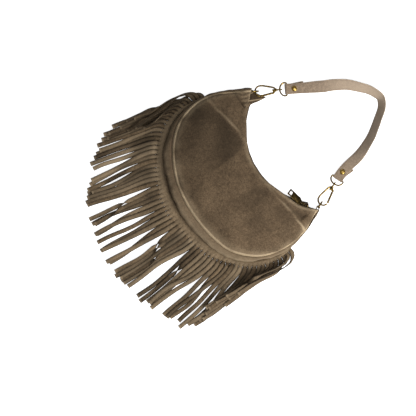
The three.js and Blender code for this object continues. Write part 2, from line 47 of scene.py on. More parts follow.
VIEW_W = 0.657                      # width of the picture at the surface, in metres
CAM_H = 3.6
cam_data = bpy.data.cameras.new("camera")
cam_data.sensor_width = 36.0
cam_data.lens = 36.0 * CAM_H / VIEW_W
cam_data.clip_start, cam_data.clip_end = 0.1, 20.0
cam = bpy.data.objects.new("camera", cam_data)
scene.collection.objects.link(cam)
c30, s30 = math.cos(math.radians(30)), math.sin(math.radians(30))
cam.matrix_world = Matrix(((s30, -c30, 0, 0.0192), (c30, s30, 0, -0.0717), (0, 0, 1, CAM_H), (0, 0, 0, 1)))
scene.camera = cam

# ------------------------------------------------------------------ small helpers


def lerp(a, b, t):
    return a + (b - a) * t


def smooth(e0, e1, x):
    t = np.clip((np.asarray(x, float) - e0) / (e1 - e0), 0, 1)
    return t * t * (3 - 2 * t)


def catmull(points, per=24, closed=False):
    """A dense centripetal Catmull-Rom line through points."""
    P = np.asarray(points, float)
    if closed:
        P = np.vstack([P[-1], P, P[0], P[1]])
    else:
        P = np.vstack([2 * P[0] - P[1], P, 2 * P[-1] - P[-2]])
    out = []
    for i in range(1, len(P) - 2):
        p0, p1, p2, p3 = P[i - 1:i + 3]
        t0 = 0.0
        t1 = t0 + max(np.linalg.norm(p1 - p0), 1e-9) ** 0.5
        t2 = t1 + max(np.linalg.norm(p2 - p1), 1e-9) ** 0.5
        t3 = t2 + max(np.linalg.norm(p3 - p2), 1e-9) ** 0.5
        t = np.linspace(t1, t2, per, endpoint=False)[:, None]
        a1 = (t1 - t) / (t1 - t0) * p0 + (t - t0) / (t1 - t0) * p1
        a2 = (t2 - t) / (t2 - t1) * p1 + (t - t1) / (t2 - t1) * p2
        a3 = (t3 - t) / (t3 - t2) * p2 + (t - t2) / (t3 - t2) * p3
        b1 = (t2 - t) / (t2 - t0) * a1 + (t - t0) / (t2 - t0) * a2
        b2 = (t3 - t) / (t3 - t1) * a2 + (t - t1) / (t3 - t1) * a3
        out.append((t2 - t) / (t2 - t1) * b1 + (t - t1) / (t2 - t1) * b2)
    if not closed:
        out.append(P[-2][None])
    return np.vstack(out)


def arc(P):
    return np.concatenate([[0], np.cumsum(np.linalg.norm(np.diff(P, axis=0), axis=1))])


def at_length(P, d):
    """Points of the line P at distances d from its start."""
    L = arc(P)
    return np.stack([np.interp(d, L, P[:, k]) for k in range(P.shape[1])], -1)


def resample(P, n):
    return at_length(P, np.linspace(0, arc(P)[-1], n))


class Outline:
    """An outline from the left ear (s = -1) through the centre line to the right ear (s = 1)."""

    def __init__(self, right, left=None):
        self.r = catmull(right)
        self.l = catmull([[-x, y] for x, y in (left or right)])
        self.lr, self.ll = arc(self.r)[-1], arc(self.l)[-1]

    def at(self, s):
        s = np.asarray(s, float)
        a = at_length(self.r, np.clip(s, 0, 1) * self.lr)
        b = at_length(self.l, np.clip(-s, 0, 1) * self.ll)
        return np.where((s >= 0)[..., None], a, b)

    def out(self, s):
        e = 0.006
        t = self.at(np.clip(s + e, -1, 1)) - self.at(np.clip(s - e, -1, 1))
        t /= np.linalg.norm(t, axis=-1, keepdims=True)
        return np.stack([t[..., 1], -t[..., 0]], -1)


class Waves:
    """Smooth seeded unevenness of a given wavelength (mm), about -1 to 1."""

    def __init__(self, seed, wavelength, n=14, dims=2):
        r = np.random.default_rng(seed)
        k = r.normal(size=(n, dims))
        k /= np.linalg.norm(k, axis=1, keepdims=True)
        self.k = k * (2 * np.pi / wavelength) * r.uniform(0.6, 1.5, (n, 1))
        self.p = r.uniform(0, 2 * np.pi, n)
        self.a = 1.3 / math.sqrt(n)

    def __call__(self, *x):
        q = np.stack(np.broadcast_arrays(*x), -1) @ self.k.T + self.p
        return np.cos(q).sum(-1) * self.a


def table(list_, s):
    x, y = zip(*list_)
    return np.interp(s, x, y)


def normals(P):
    """Unit normals of a grid of points (i, j, 3)."""
    du = np.gradient(P, axis=0)
    dv = np.gradient(P, axis=1)
    n = np.cross(du, dv)
    return n / np.maximum(np.linalg.norm(n, axis=-1, keepdims=True), 1e-12)


def make(name, verts, faces, mat, body, replaces=(), slot=None, attrs=None, sharp=None, flat=False):
    """A mesh piece from points in millimetres."""
    me = bpy.data.meshes.new(name)
    me.from_pydata((np.asarray(verts, float) * MM).tolist(), [], faces if isinstance(faces, list) else faces.tolist())
    for key, val in (attrs or {}).items():
        at = me.attributes.new(key, "FLOAT", "POINT")
        at.data.foreach_set("value", np.asarray(val, np.float32).ravel())
    me.validate(clean_customdata=False)
    me.update()
    if not flat:
        me.polygons.foreach_set("use_smooth", [True] * len(me.polygons))
        if sharp is not None:
            me.set_sharp_from_angle(angle=math.radians(sharp))
    ob = bpy.data.objects.new(name, me)
    scene.collection.objects.link(ob)
    for m in (mat if isinstance(mat, (list, tuple)) else [mat]):
        me.materials.append(m)
    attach(ob, body)
    if replaces:
        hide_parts(*replaces)
    return ob


def outward(verts, faces):
    """Faces turned so that a closed mesh points out."""
    v = np.asarray(verts, float)
    vol = 0.0
    for f in faces:
        for k in range(1, len(f) - 1):
            vol += np.dot(v[f[0]], np.cross(v[f[k]], v[f[k + 1]]))
    return faces if vol > 0 else [list(reversed(f)) for f in faces]


def grid_sheet(P, t, t_in=None):
    """Closed sheet round a grid: P +- t/2 along its normals. Returns points, faces, and the (side, i, j) index grid."""
    ni, nj, _ = P.shape
    N = normals(P)
    up, dn = P + N * (t / 2), P - N * (t / 2 if t_in is None else t_in)
    V = np.concatenate([up.reshape(-1, 3), dn.reshape(-1, 3)])
    idx = np.arange(2 * ni * nj).reshape(2, ni, nj)
    F = []

    def quads(a, b, c, d):
        F.extend(np.stack([a.ravel(), b.ravel(), c.ravel(), d.ravel()], -1).tolist())
    u, w = idx
    quads(u[:-1, :-1], u[1:, :-1], u[1:, 1:], u[:-1, 1:])
    quads(w[:-1, :-1], w[:-1, 1:], w[1:, 1:], w[1:, :-1])
    quads(u[:-1, 0], w[:-1, 0], w[1:, 0], u[1:, 0])
    quads(u[:-1, -1], u[1:, -1], w[1:, -1], w[:-1, -1])
    quads(u[0, :-1], u[0, 1:], w[0, 1:], w[0, :-1])
    quads(u[-1, :-1], w[-1, :-1], w[-1, 1:], u[-1, 1:])
    return V, outward(V, F), idx


def sweep(sections, closed=False, caps=True):
    """Points and faces of sections (m, n, 3) joined in a row or a loop."""
    S = np.asarray(sections, float)
    m, n, _ = S.shape
    F = []
    for i in range(m if closed else m - 1):
        a, b = i * n, ((i + 1) % m) * n
        for k in range(n):
            k2 = (k + 1) % n
            F.append([a + k, b + k, b + k2, a + k2])
    if not closed and caps:
        F.append(list(range(n)))
        F.append(list(range((m - 1) * n, m * n))[::-1])
    V = S.reshape(-1, 3)
    return V, outward(V, F)


def tube(points, radius, normal, n=14, closed=False):
    P = np.asarray(points, float)
    up = np.asarray(normal, float)
    if closed:
        T = np.roll(P, -1, 0) - np.roll(P, 1, 0)
    else:
        T = np.gradient(P, axis=0)
    A = np.cross(up, T)
    A /= np.linalg.norm(A, axis=1, keepdims=True)
    r = np.broadcast_to(np.asarray(radius, float), (len(P),))
    q = (np.arange(n) + 0.5) / n * 2 * np.pi
    S = P[:, None] + r[:, None, None] * (A[:, None] * np.cos(q)[None, :, None] + up[None, None] * np.sin(q)[None, :, None])
    return sweep(S, closed)


def lathe(profile, n=28):
    """Closed turned form about z; profile (r, z) from axis to axis."""
    pr = np.asarray(profile, float)
    q = np.arange(n) / n * 2 * np.pi
    V, F = [[0, 0, pr[0, 1]]], []
    rings = pr[1:-1]
    for r, z in rings:
        V += np.stack([r * np.cos(q), r * np.sin(q), np.full(n, z)], -1).tolist()
    V.append([0, 0, pr[-1, 1]])
    last = len(V) - 1
    for k in range(n):
        k2 = (k + 1) % n
        F.append([0, 1 + k2, 1 + k])
        for i in range(len(rings) - 1):
            a, b = 1 + i * n, 1 + (i + 1) * n
            F.append([a + k, a + k2, b + k2, b + k])
        a = 1 + (len(rings) - 1) * n
        F.append([last, a + k, a + k2])
    V = np.asarray(V)
    return V, outward(V, F)


def bevelled(verts, faces, width, segments=3, angle=35):
    """The same closed mesh with rounded edges, as points and faces."""
    bm = bmesh.new()
    vs = [bm.verts.new(v) for v in np.asarray(verts, float)]
    for f in faces:
        bm.faces.new([vs[i] for i in f])
    bm.normal_update()
    edges = [e for e in bm.edges if len(e.link_faces) == 2 and e.calc_face_angle(0) > math.radians(angle)]
    bmesh.ops.bevel(bm, geom=edges, offset=width, segments=segments, profile=0.5, affect="EDGES", clamp_overlap=True)
    bm.verts.index_update()
    V = np.array([v.co[:] for v in bm.verts])
    F = [[v.index for v in f.verts] for f in bm.faces]
    bm.free()
    return V, F


def prism(outline, z0, z1, holes=()):
    """Extruded outline with holes, as points and faces."""
    bm = bmesh.new()
    loops = [list(outline)] + [list(h) for h in holes]
    edges = []
    for lp in loops:
        vs = [bm.verts.new((x, y, z0)) for x, y in lp]
        edges += [bm.edges.new((vs[i], vs[(i + 1) % len(vs)])) for i in range(len(vs))]
    bmesh.ops.triangle_fill(bm, use_beauty=True, use_dissolve=False, edges=edges)
    bmesh.ops.recalc_face_normals(bm, faces=bm.faces)
    ext = bmesh.ops.extrude_face_region(bm, geom=list(bm.faces))
    bmesh.ops.translate(bm, vec=(0, 0, z1 - z0), verts=[g for g in ext["geom"] if isinstance(g, bmesh.types.BMVert)])
    bmesh.ops.recalc_face_normals(bm, faces=bm.faces)
    bm.verts.index_update()
    V = np.array([v.co[:] for v in bm.verts])
    F = [[v.index for v in f.verts] for f in bm.faces]
    bm.free()
    return V, F


def box(x0, x1, y0, y1, z0, z1):
    V = np.array([[x, y, z] for x in (x0, x1) for y in (y0, y1) for z in (z0, z1)], float)
    F = [[0, 1, 3, 2], [4, 6, 7, 5], [0, 4, 5, 1], [2, 3, 7, 6], [0, 2, 6, 4], [1, 5, 7, 3]]
    return V, outward(V, F)


class Parts:
    """Several closed meshes gathered into one piece."""

    def __init__(self):
        self.v, self.f, self.n, self.a = [], [], 0, {}

    def add(self, vf, matrix=None, **attrs):
        V, F = vf
        V = np.asarray(V, float)
        if matrix is not None:
            M = np.asarray(matrix, float)
            V = V @ M[:3, :3].T + M[:3, 3]
        self.v.append(V)
        self.f += [[i + self.n for i in f] for f in F]
        for key, val in attrs.items():
            self.a.setdefault(key, []).append(np.broadcast_to(np.asarray(val, float), (len(V),)))
        self.n += len(V)
        return self

    def make(self, name, mat, body, **kw):
        attrs = {k: np.concatenate(v) for k, v in self.a.items()}
        return make(name, np.concatenate(self.v), self.f, mat, body, attrs=attrs, **kw)


def basis(o, x, y, z):
    M = np.eye(4)
    M[:3, 0], M[:3, 1], M[:3, 2], M[:3, 3] = x, y, z, o
    return M


# ------------------------------------------------------------------ materials


def srgb(r, g, b):
    f = lambda c: c / 12.92 if c <= 0.04045 else ((c + 0.055) / 1.055) ** 2.4
    return (f(r / 255), f(g / 255), f(b / 255), 1.0)


class Nodes:
    def __init__(self, name):
        self.mat = bpy.data.materials.new(name)
        self.mat.use_nodes = True
        self.t = self.mat.node_tree
        self.bsdf = self.t.nodes["Principled BSDF"]
        self.xyz = self.new("ShaderNodeTexCoord").outputs["Object"]

    def new(self, kind, **props):
        n = self.t.nodes.new(kind)
        for k, v in props.items():
            setattr(n, k, v)
        return n

    def link(self, a, b):
        self.t.links.new(a, b)

    def noise(self, scale, detail=2.0, rough=0.55, vec=None, distort=0.0):
        n = self.new("ShaderNodeTexNoise")
        n.inputs["Scale"].default_value = scale
        n.inputs["Detail"].default_value = detail
        n.inputs["Roughness"].default_value = rough
        n.inputs["Distortion"].default_value = distort
        self.link(vec or self.xyz, n.inputs["Vector"])
        return n.outputs["Fac"]

    def stretch(self, sx, sy, sz, rot=(0, 0, 0)):
        m = self.new("ShaderNodeMapping")
        m.inputs["Scale"].default_value = (sx, sy, sz)
        m.inputs["Rotation"].default_value = rot
        self.link(self.xyz, m.inputs["Vector"])
        return m.outputs["Vector"]

    def ramp(self, fac, stops):
        r = self.new("ShaderNodeValToRGB")
        e = r.color_ramp.elements
        while len(e) < len(stops):
            e.new(0.5)
        for el, (pos, col) in zip(e, stops):
            el.position, el.color = pos, col
        self.link(fac, r.inputs["Fac"])
        return r.outputs["Color"]

    def range(self, fac, a, b, c, d):
        m = self.new("ShaderNodeMapRange")
        for k, v in zip(("From Min", "From Max", "To Min", "To Max"), (a, b, c, d)):
            m.inputs[k].default_value = v
        self.link(fac, m.inputs["Value"])
        return m.outputs["Result"]

    def mix(self, fac, a, b, kind="MIX"):
        m = self.new("ShaderNodeMix", data_type="RGBA", blend_type=kind)
        if isinstance(fac, (int, float)):
            m.inputs["Factor"].default_value = fac
        else:
            self.link(fac, m.inputs["Factor"])
        for sock, v in (("A", a), ("B", b)):
            s = [i for i in m.inputs if i.name == sock and i.type == "RGBA"][0]
            if isinstance(v, tuple):
                s.default_value = v
            else:
                self.link(v, s)
        return [o for o in m.outputs if o.type == "RGBA"][0]

    def math(self, op, a, b=0.0, clamp=False):
        m = self.new("ShaderNodeMath", operation=op, use_clamp=clamp)
        for s, v in zip(m.inputs, (a, b)):
            if isinstance(v, (int, float)):
                s.default_value = v
            else:
                self.link(v, s)
        return m.outputs[0]

    def attr(self, name):
        return self.new("ShaderNodeAttribute", attribute_name=name).outputs["Fac"]

    def bump(self, height, strength, distance, normal=None):
        b = self.new("ShaderNodeBump")
        b.inputs["Strength"].default_value = strength
        b.inputs["Distance"].default_value = distance
        self.link(height, b.inputs["Height"])
        if normal is not None:
            self.link(normal, b.inputs["Normal"])
        return b.outputs["Normal"]


def suede(name, dark, mid, light, worn, sheen=0.3, scale=1.0):
    """Brushed suede: soft nap patches, a fine grain, lighter rubbed edges and some painted highlights ('wear'), lighter
    or darker places ('tone', 'shade') that carry the hide's own tone and also painted light and painted shade.
    """
    n = Nodes(name)
    patches = n.noise(30 * scale, 3.0, 0.55, distort=0.5)
    col = n.ramp(patches, [(0.25, dark), (0.50, mid), (0.78, light)])
    col = n.mix(0.45, mid, col)
    strokes = n.noise(85 * scale, 2.0, 0.5, vec=n.stretch(1.0, 0.4, 1.0, (0, 0, 0.5)), distort=0.6)
    col = n.mix(n.range(strokes, 0.40, 0.75, 0.0, 0.22), col, dark)
    blot = n.noise(240 * scale, 3.0, 0.65)
    col = n.mix(0.68, col, n.ramp(blot, [(0.30, (0.62, 0.61, 0.60, 1)), (0.52, (1, 1, 1, 1)), (0.74, (1.30, 1.29, 1.27, 1))]), "MULTIPLY")
    grain = n.noise(560 * scale, 2.0, 0.7)
    col = n.mix(0.85, col, n.ramp(grain, [(0.28, (0.55, 0.54, 0.53, 1)), (0.5, (1, 1, 1, 1)), (0.72, (1.42, 1.41, 1.38, 1))]), "MULTIPLY")
    fine = n.noise(1500, 2.0, 0.6)
    col = n.mix(0.5, col, n.ramp(fine, [(0.3, (0.72, 0.72, 0.72, 1)), (0.5, (1, 1, 1, 1)), (0.7, (1.25, 1.25, 1.25, 1))]), "MULTIPLY")
    # 'tone' lightens towards the worn colour and 'shade' darkens: random tone on some pieces, painted light and painted
    # shade on others
    col = n.mix(n.range(n.attr("tone"), 0.0, 1.0, 0.0, 0.9), col, worn)
    col = n.mix(n.range(n.attr("shade"), 0.0, 1.0, 0.0, 0.9), col, n.mix(0.8, dark, n.ramp(grain, [(0.3, (0.5, 0.5, 0.5, 1)), (0.7, (1.3, 1.3, 1.3, 1))]), "MULTIPLY"))
    wear = n.math("MULTIPLY", n.attr("wear"), n.range(grain, 0.3, 0.65, 0.65, 1.1), clamp=True)
    col = n.mix(wear, col, worn)
    n.link(col, n.bsdf.inputs["Base Color"])
    n.link(n.range(blot, 0.3, 0.7, 0.98, 0.86), n.bsdf.inputs["Roughness"])
    n.bsdf.inputs["Specular IOR Level"].default_value = 0.12
    n.bsdf.inputs["Sheen Weight"].default_value = sheen
    n.bsdf.inputs["Sheen Roughness"].default_value = 0.55
    n.bsdf.inputs["Sheen Tint"].default_value = worn
    nm = n.bump(blot, 0.22, 0.0009)
    nm = n.bump(grain, 0.45, 0.0006, nm)
    nm = n.bump(fine, 0.35, 0.0003, nm)
    n.link(nm, n.bsdf.inputs["Normal"])
    return n.mat


def metal(name, dark, mid, bright, rough=(0.22, 0.5), pit=0.15):
    """Antique brass: darkened in patches and hollows, rubbed bright elsewhere."""
    n = Nodes(name)
    big = n.noise(170, 4.0, 0.6)
    col = n.ramp(big, [(0.32, dark), (0.52, mid), (0.70, bright)])
    geo = n.new("ShaderNodeNewGeometry").outputs["Pointiness"]
    col = n.mix(n.range(geo, 0.50, 0.58, 0.0, 0.7), col, bright)
    col = n.mix(n.range(geo, 0.49, 0.42, 0.0, 0.8), col, dark)
    small = n.noise(900, 3.0, 0.6)
    n.link(col, n.bsdf.inputs["Base Color"])
    n.bsdf.inputs["Metallic"].default_value = 1.0
    n.link(n.range(big, 0.3, 0.7, rough[1], rough[0]), n.bsdf.inputs["Roughness"])
    n.link(n.bump(small, pit, 0.0002), n.bsdf.inputs["Normal"])
    return n.mat


def woven(name, dark, light):
    """Zip tape: a fine woven ribbon."""
    n = Nodes(name)
    w = n.new("ShaderNodeTexWave", wave_type="BANDS", bands_direction="DIAGONAL")
    w.inputs["Scale"].default_value = 620
    w.inputs["Distortion"].default_value = 1.5
    n.link(n.xyz, w.inputs["Vector"])
    v = n.noise(260, 3.0)
    f = n.math("ADD", n.math("MULTIPLY", w.outputs["Fac"], 0.6), n.math("MULTIPLY", v, 0.4))
    n.link(n.ramp(f, [(0.2, dark), (0.8, light)]), n.bsdf.inputs["Base Color"])
    n.link(n.range(v, 0.3, 0.7, 0.95, 0.8), n.bsdf.inputs["Roughness"])
    n.bsdf.inputs["Specular IOR Level"].default_value = 0.2
    n.link(n.bump(w.outputs["Fac"], 0.4, 0.0003), n.bsdf.inputs["Normal"])
    return n.mat


M_BODY = suede("body_suede", srgb(51, 41, 30), srgb(91, 75, 57), srgb(105, 88, 68), srgb(166, 147, 119))
M_FRINGE = suede("fringe_suede", srgb(32, 26, 19), srgb(106, 89, 68), srgb(122, 104, 81), srgb(158, 140, 114))
M_STRAP = suede("strap_suede", srgb(92, 78, 64), srgb(130, 113, 95), srgb(150, 132, 113), srgb(176, 158, 138))
M_INNER = suede("inner_suede", srgb(40, 32, 25), srgb(74, 62, 50), srgb(92, 79, 64), srgb(186, 158, 122), sheen=0.15)
M_BRASS = metal("antique_brass", srgb(14, 11, 5), srgb(54, 43, 20), srgb(146, 118, 58), rough=(0.24, 0.42))
M_DARK = metal("dark_brass", srgb(14, 11, 6), srgb(38, 30, 16), srgb(98, 80, 44), rough=(0.25, 0.42))
M_RIVET = metal("rivet_brass", srgb(80, 62, 24), srgb(134, 106, 48), srgb(206, 172, 98), rough=(0.22, 0.36), pit=0.06)
M_TAPE = woven("zip_tape", srgb(50, 40, 32), srgb(86, 71, 56))

# ------------------------------------------------------------------ outlines (mm)

FRONT_TOP = Outline(
    [[0, 23.9], [10, 24.4], [20, 25.9], [30, 28.9], [40, 33.1], [50, 37.5], [60, 41.9], [71.1, 46.6], [80, 50.6], [87, 54.4], [93, 59.8], [98, 65.2], [103.6, 70.8]],
    [[0, 23.9], [10, 24.0], [20, 25.3], [30, 28.0], [40, 32.8], [50, 38.0], [60, 43.6], [70, 48.9], [80, 54.3], [85, 57.6], [90, 63.0]])
BACK_TOP = Outline(
    [[0, 23.6], [20, 25.5], [40, 32.7], [50, 37.4], [60, 42.9], [70, 49.8], [80, 56.6], [89.9, 62.2], [104.5, 73.0]],
    [[0, 23.6], [20, 25.3], [40, 32.5], [50, 37.6], [60, 43.2], [71.1, 49.6], [82.0, 57.0], [88.2, 68.3], [86.9, 81.0], [86.0, 95.0]])
FRONT_SEAM = Outline(
    [[0, -98.4], [28.5, -96.2], [60.0, -90.0], [90.0, -78.6], [111.5, -60.2], [126.5, -37.5], [133.4, -12.5], [134.4, 6.0],
     [131.5, 26.9], [125.0, 46.8], [117.3, 61.3], [108.8, 77.0]],
    [[0, -98.4], [14.0, -97.8], [36.5, -95.0], [62.0, -87.2], [86.0, -75.4], [105.0, -61.3], [121.7, -41.9], [131.5, -18.2], [134.2, 4.0],
     [131.5, 26.9], [124.0, 46.6], [116.9, 61.8], [108.2, 80.6]])
BACK_SEAM = Outline(
    [[0, -109.0], [31.6, -106.3], [63.2, -97.2], [86.9, -85.3], [106.7, -70.3], [122.5, -49.8], [131.9, -26.1], [134.8, -0.8],
     [132.7, 24.5], [125.6, 46.6], [118.5, 61.6], [110.0, 77.6]])
GROOVE = Outline(                   # widest line of the gusset, where the fringe comes out from under it
    [[0, -112.6], [24.0, -111.4], [53.0, -105.4], [78.0, -96.8], [103.2, -82.0], [122.4, -60.3], [133.0, -37.0], [137.2, -12.0],
     [136.6, 8.0], [133.0, 27.0], [126.2, 47.0], [118.8, 62.0], [110.4, 77.8]],
    [[0, -112.6], [26.6, -110.5], [53.3, -104.4], [78.0, -94.8], [95.0, -84.0], [113.4, -67.4], [125.8, -48.6], [132.4, -24.0],
     [135.2, -1.0], [133.0, 24.6], [125.8, 46.8], [118.2, 62.4], [109.6, 80.8]])
HEADER = Outline(
    [[0, -128.4], [23.0, -124.8], [47.0, -119.4], [72.0, -111.6], [93.0, -100.4], [106.0, -89.6], [117.0, -78.2], [128.0, -65.0],
     [135.4, -52.0], [140.5, -37.0], [143.4, -20.0], [142.4, -2.0], [138.6, 9.8]],
    [[0, -128.4], [31.2, -126.3], [54.6, -118.8], [78.3, -107.4], [97.0, -95.4], [112.5, -81.9], [125.9, -64.8], [133.1, -49.0],
     [136.9, -30.8], [137.4, -10.0], [134.6, 11.5]])

TOP_Z = [[0, 40], [0.28, 38], [0.5, 35], [0.72, 31], [0.88, 27.5], [1, 25]]
SEAM_Z = [[0, 30], [0.35, 28.5], [0.62, 25.5], [0.85, 23.5], [1, 22.5]]
CREASE = [[-150, 10], [-117, 16.6], [-86.9, 24.5], [-60.0, 30.8], [-40, 30.4], [-26.9, 27.7], [9.5, 25.6], [45.8, 27.7], [70.3, 34.6],
          [95.9, 39.2], [112, 41.5], [150, 44]]

# ------------------------------------------------------------------ front panel

NS, NV = 281, 84
S = np.linspace(-1, 1, NS)
q = np.linspace(0, 1, NV)
Vv = 0.5 - 0.5 * np.cos(np.pi * q)
Vv = 0.55 * Vv + 0.45 * q
Vv = np.sort(np.concatenate([Vv, [0.004, 0.008, 0.014, 0.022, 0.978, 0.985, 0.991, 0.996]]))
NV = len(Vv)

folds = Waves(3, 26, 18)
broad = Waves(5, 62, 12)
small = Waves(9, 13, 20)


def triangle_depth(x, y, a, b, c, soft):
    """0 outside the triangle, rising to 1 a distance soft inside it."""
    a, b, c = (np.array(p, float) for p in (a, b, c))
    d = []
    for p, r in ((a, b), (b, c), (c, a)):
        e = (r - p) / np.linalg.norm(r - p)
        d.append((x - p[0]) * -e[1] + (y - p[1]) * e[0])
    d = np.stack(d)
    return smooth(0, soft, np.minimum.reduce(d))


def front_points():
    a, b = FRONT_TOP.at(S), FRONT_SEAM.at(S)
    za, zb = table(TOP_Z, abs(S)), table(SEAM_Z, abs(S))
    v = Vv[None, :]
    XY = a[:, None] * (1 - v[..., None]) + b[:, None] * v[..., None]
    x, y = XY[..., 0], XY[..., 1]
    span = np.linalg.norm(b - a, axis=1)[:, None]
    dA, dB = v * span, (1 - v) * span
    s = S[:, None]
    dome = 0.5 * (1 - (2 * v - 1) ** 4) + 0.5 * np.sin(np.pi * v)
    z = za[:, None] * (1 - v) + zb[:, None] * v + 10.4 * dome * (1 - abs(s) ** 2.6)
    # the soft ridge where the filled part ends and the ears begin
    e = y - table(CREASE, x)
    m = smooth(16, 42, abs(x))
    z += m * (1.5 * np.exp(-(e / 3.2) ** 2) - 1.2 * np.exp(-((e + 9) / 7.0) ** 2))
    z -= m * smooth(0, 15, dA) * np.where(e > 0, 4.6 * (1 - np.exp(-np.maximum(e, 0) / 8.0)), 0.0)
    # pushed-in corner of the right ear
    z -= 3.4 * triangle_depth(x, y, (82, 41.5), (113.5, 41.0), (108, 65.0), 7.0)
    # slack near the seams, unevenness of the hide
    z += 0.55 * folds(x * 0.55, y * 1.2) * np.exp(-dB / 26) * smooth(0, 6, dB)
    z += 0.75 * broad(x, y) * smooth(0, 14, np.minimum(dA, dB)) + 0.16 * small(x, y)
    # turned edges
    z -= 1.9 * np.clip(1 - dB / 2.4, 0, 1) ** 2 + 0.55 * np.exp(-((dB - 4.6) / 1.5) ** 2)
    z -= 1.5 * np.clip(1 - dA / 1.9, 0, 1) ** 2 + 0.2 * np.exp(-((dA - 5.0) / 1.6) ** 2)
    # rolled end of the left ear, pushed back over the ring
    roll_ = np.clip((-s - 0.90) / 0.10, 0, 1)
    z += 2.6 * np.sin(np.pi * roll_) ** 0.7 + 0.5 * smooth(0, 0.3, roll_) * np.sin(dB * 0.9 + 2.0 * Waves(14, 35, 10)(x, y))
    return np.stack([x, y, z], -1), dA, dB


P_FRONT, dA, dB = front_points()
V, F, idx = grid_sheet(P_FRONT, 1.3)
e_cr = P_FRONT[..., 1] - table(CREASE, P_FRONT[..., 0])
at_ear = smooth(24, 50, abs(P_FRONT[..., 0]))
wear = 0.95 * np.exp(-((dB - 1.7) / 1.5) ** 4) + 0.28 * np.exp(-((dB - 4) / 7) ** 2) + (0.12 + 0.22 * smooth(-60, -35, P_FRONT[..., 0])) * np.exp(-((dA - 1.8) / 3.2) ** 2)
uneven = Waves(14, 35, 10)(P_FRONT[..., 0], P_FRONT[..., 1])
wear += (0.30 + 0.16 * uneven) * np.exp(-((e_cr + 0.6 + 0.8 * Waves(17, 24, 8)(P_FRONT[..., 0], P_FRONT[..., 1])) / 1.5) ** 2) * at_ear
wear = np.clip(wear * (0.82 + 0.25 * uneven), 0, 1)
filled = smooth(1, -7, e_cr * at_ear)
# painted shade: the filled part darker towards the upper left, away from the key light, and darker round its middle;
# the ears stay almost clear of it
shade = filled * np.clip(0.53 - 0.0033 * (P_FRONT[..., 0] + 14) + 0.005 * (P_FRONT[..., 1] - 6), 0, 0.8) + 0.04 * (1 - filled)
shade += 0.36 * filled * np.exp(-(((P_FRONT[..., 0] + 8) / 44) ** 2 + ((P_FRONT[..., 1] - 2) / 34) ** 2))
shade += 0.09 * Waves(15, 48, 12)(P_FRONT[..., 0], P_FRONT[..., 1] * 1.3)
# painted shade in the pushed-in corner of the right ear
shade += 0.55 * triangle_depth(P_FRONT[..., 0], P_FRONT[..., 1], (84, 41.5), (113.5, 41.5), (107.5, 65), 6.0)
# painted shade in the groove inside the turned seam, on the left half
shade += 0.5 * np.exp(-((dB - 5.2) / 1.2) ** 2) * smooth(-40, 40, -P_FRONT[..., 0])
# the rolled end of the left ear: pale, with small wrinkles across it, painted over them as stripes of shade, and a
# painted shadow line where the roll begins
end_l = smooth(0.90, 0.945, -S)[:, None] * np.ones_like(dB)
shade += end_l * 0.35 * smooth(0.2, 0.8, np.sin(dB * 0.9 + 2.0 * uneven)) - 0.3 * end_l
wear = np.maximum(wear, 0.16 * end_l + 0.55 * smooth(0.985, 1.0, -S)[:, None])
# painted shadow line at the foot of the roll
shade += 0.8 * np.exp(-((-S - 0.895) / 0.010) ** 2)[:, None]
shade = np.clip(shade, 0, 1)
front = make("front_panel_suede", V, F, M_BODY, "bag", ["front_panel"], "body_suede",
             {"wear": np.tile(wear.ravel(), 2), "shade": np.tile(shade.ravel(), 2), "tone": np.zeros(len(V))}, sharp=60)

# ------------------------------------------------------------------ gusset

SG = np.linspace(-1, 1, 321)
b2, o2 = FRONT_SEAM.at(SG), FRONT_SEAM.out(SG)
d2, edge_ = BACK_SEAM.at(SG), GROOVE.at(SG)
zr = table(SEAM_Z, abs(SG))
top = b2 + o2 * 0.4
ctrl = [
    (top, zr - 2.6), (lerp(top, edge_, 0.12), zr - 1.6), (lerp(top, edge_, 0.45), zr - 1.5), (lerp(top, edge_, 0.80), zr * 0.86),
    (edge_, zr * 0.66), (lerp(edge_, d2, 0.35), zr * 0.42), (d2, np.full_like(zr, 3.0))]
ctrl = np.stack([np.concatenate([p, z[:, None]], 1) for p, z in ctrl], 1)


def ear_end(col, foot):
    """The gusset turned in round the end of an ear: sections under the end edge of the front panel."""
    edge_p = P_FRONT[col][::-1]
    La = arc(edge_p)
    rows = []
    for e in np.linspace(0.06, 0.97, 12):
        p = np.array([np.interp(e * La[-1], La, edge_p[:, k]) for k in range(3)])
        q = np.append(lerp(BACK_SEAM.at(np.array(S[col])), np.array(foot), e), 2.4)
        hgt = np.array([0.0, 0.03, 0.09, 0.22, 0.42, 0.70, 1.0])
        r = p[None] * (1 - hgt[:, None]) + q[None] * hgt[:, None]
        r[:, 2] = lerp(p[2] - 1.7, 2.4, hgt)
        inw = np.array([-math.copysign(1, S[col]) * 0.7, -0.7])
        r[:, :2] += inw * (0.7 + 1.6 * np.sin(np.pi * hgt))[:, None]
        rows.append(r)
    return rows


left_end, right_end = ear_end(0, (-92.6, 65.4)), ear_end(-1, (103.0, 71.4))
ctrl = np.concatenate([np.array(left_end[::-1]), ctrl, np.array(right_end)])
SG = np.concatenate([np.full(12, -1.0), SG, np.full(12, 1.0)])
P_G = np.stack([resample(catmull(c, 8), 30) for c in ctrl])
kk = np.linspace(0, 1, P_G.shape[1])[None, :]
ng = normals(P_G)
if ng[len(SG) // 2, 15, 1] > 0:
    ng = -ng
arcl = np.concatenate([[0], np.cumsum(np.linalg.norm(np.diff(P_G[:, 15], axis=0), axis=1))])[:, None]
P_G = P_G + ng * (0.45 * Waves(21, 19, 16)(arcl, kk * 30) * np.sin(np.pi * kk) + 0.5 * Waves(22, 60, 8)(arcl, kk * 20) * np.sin(np.pi * kk))[..., None]
V, F, idx = grid_sheet(P_G, 1.3)
sg_ = SG[:, None]
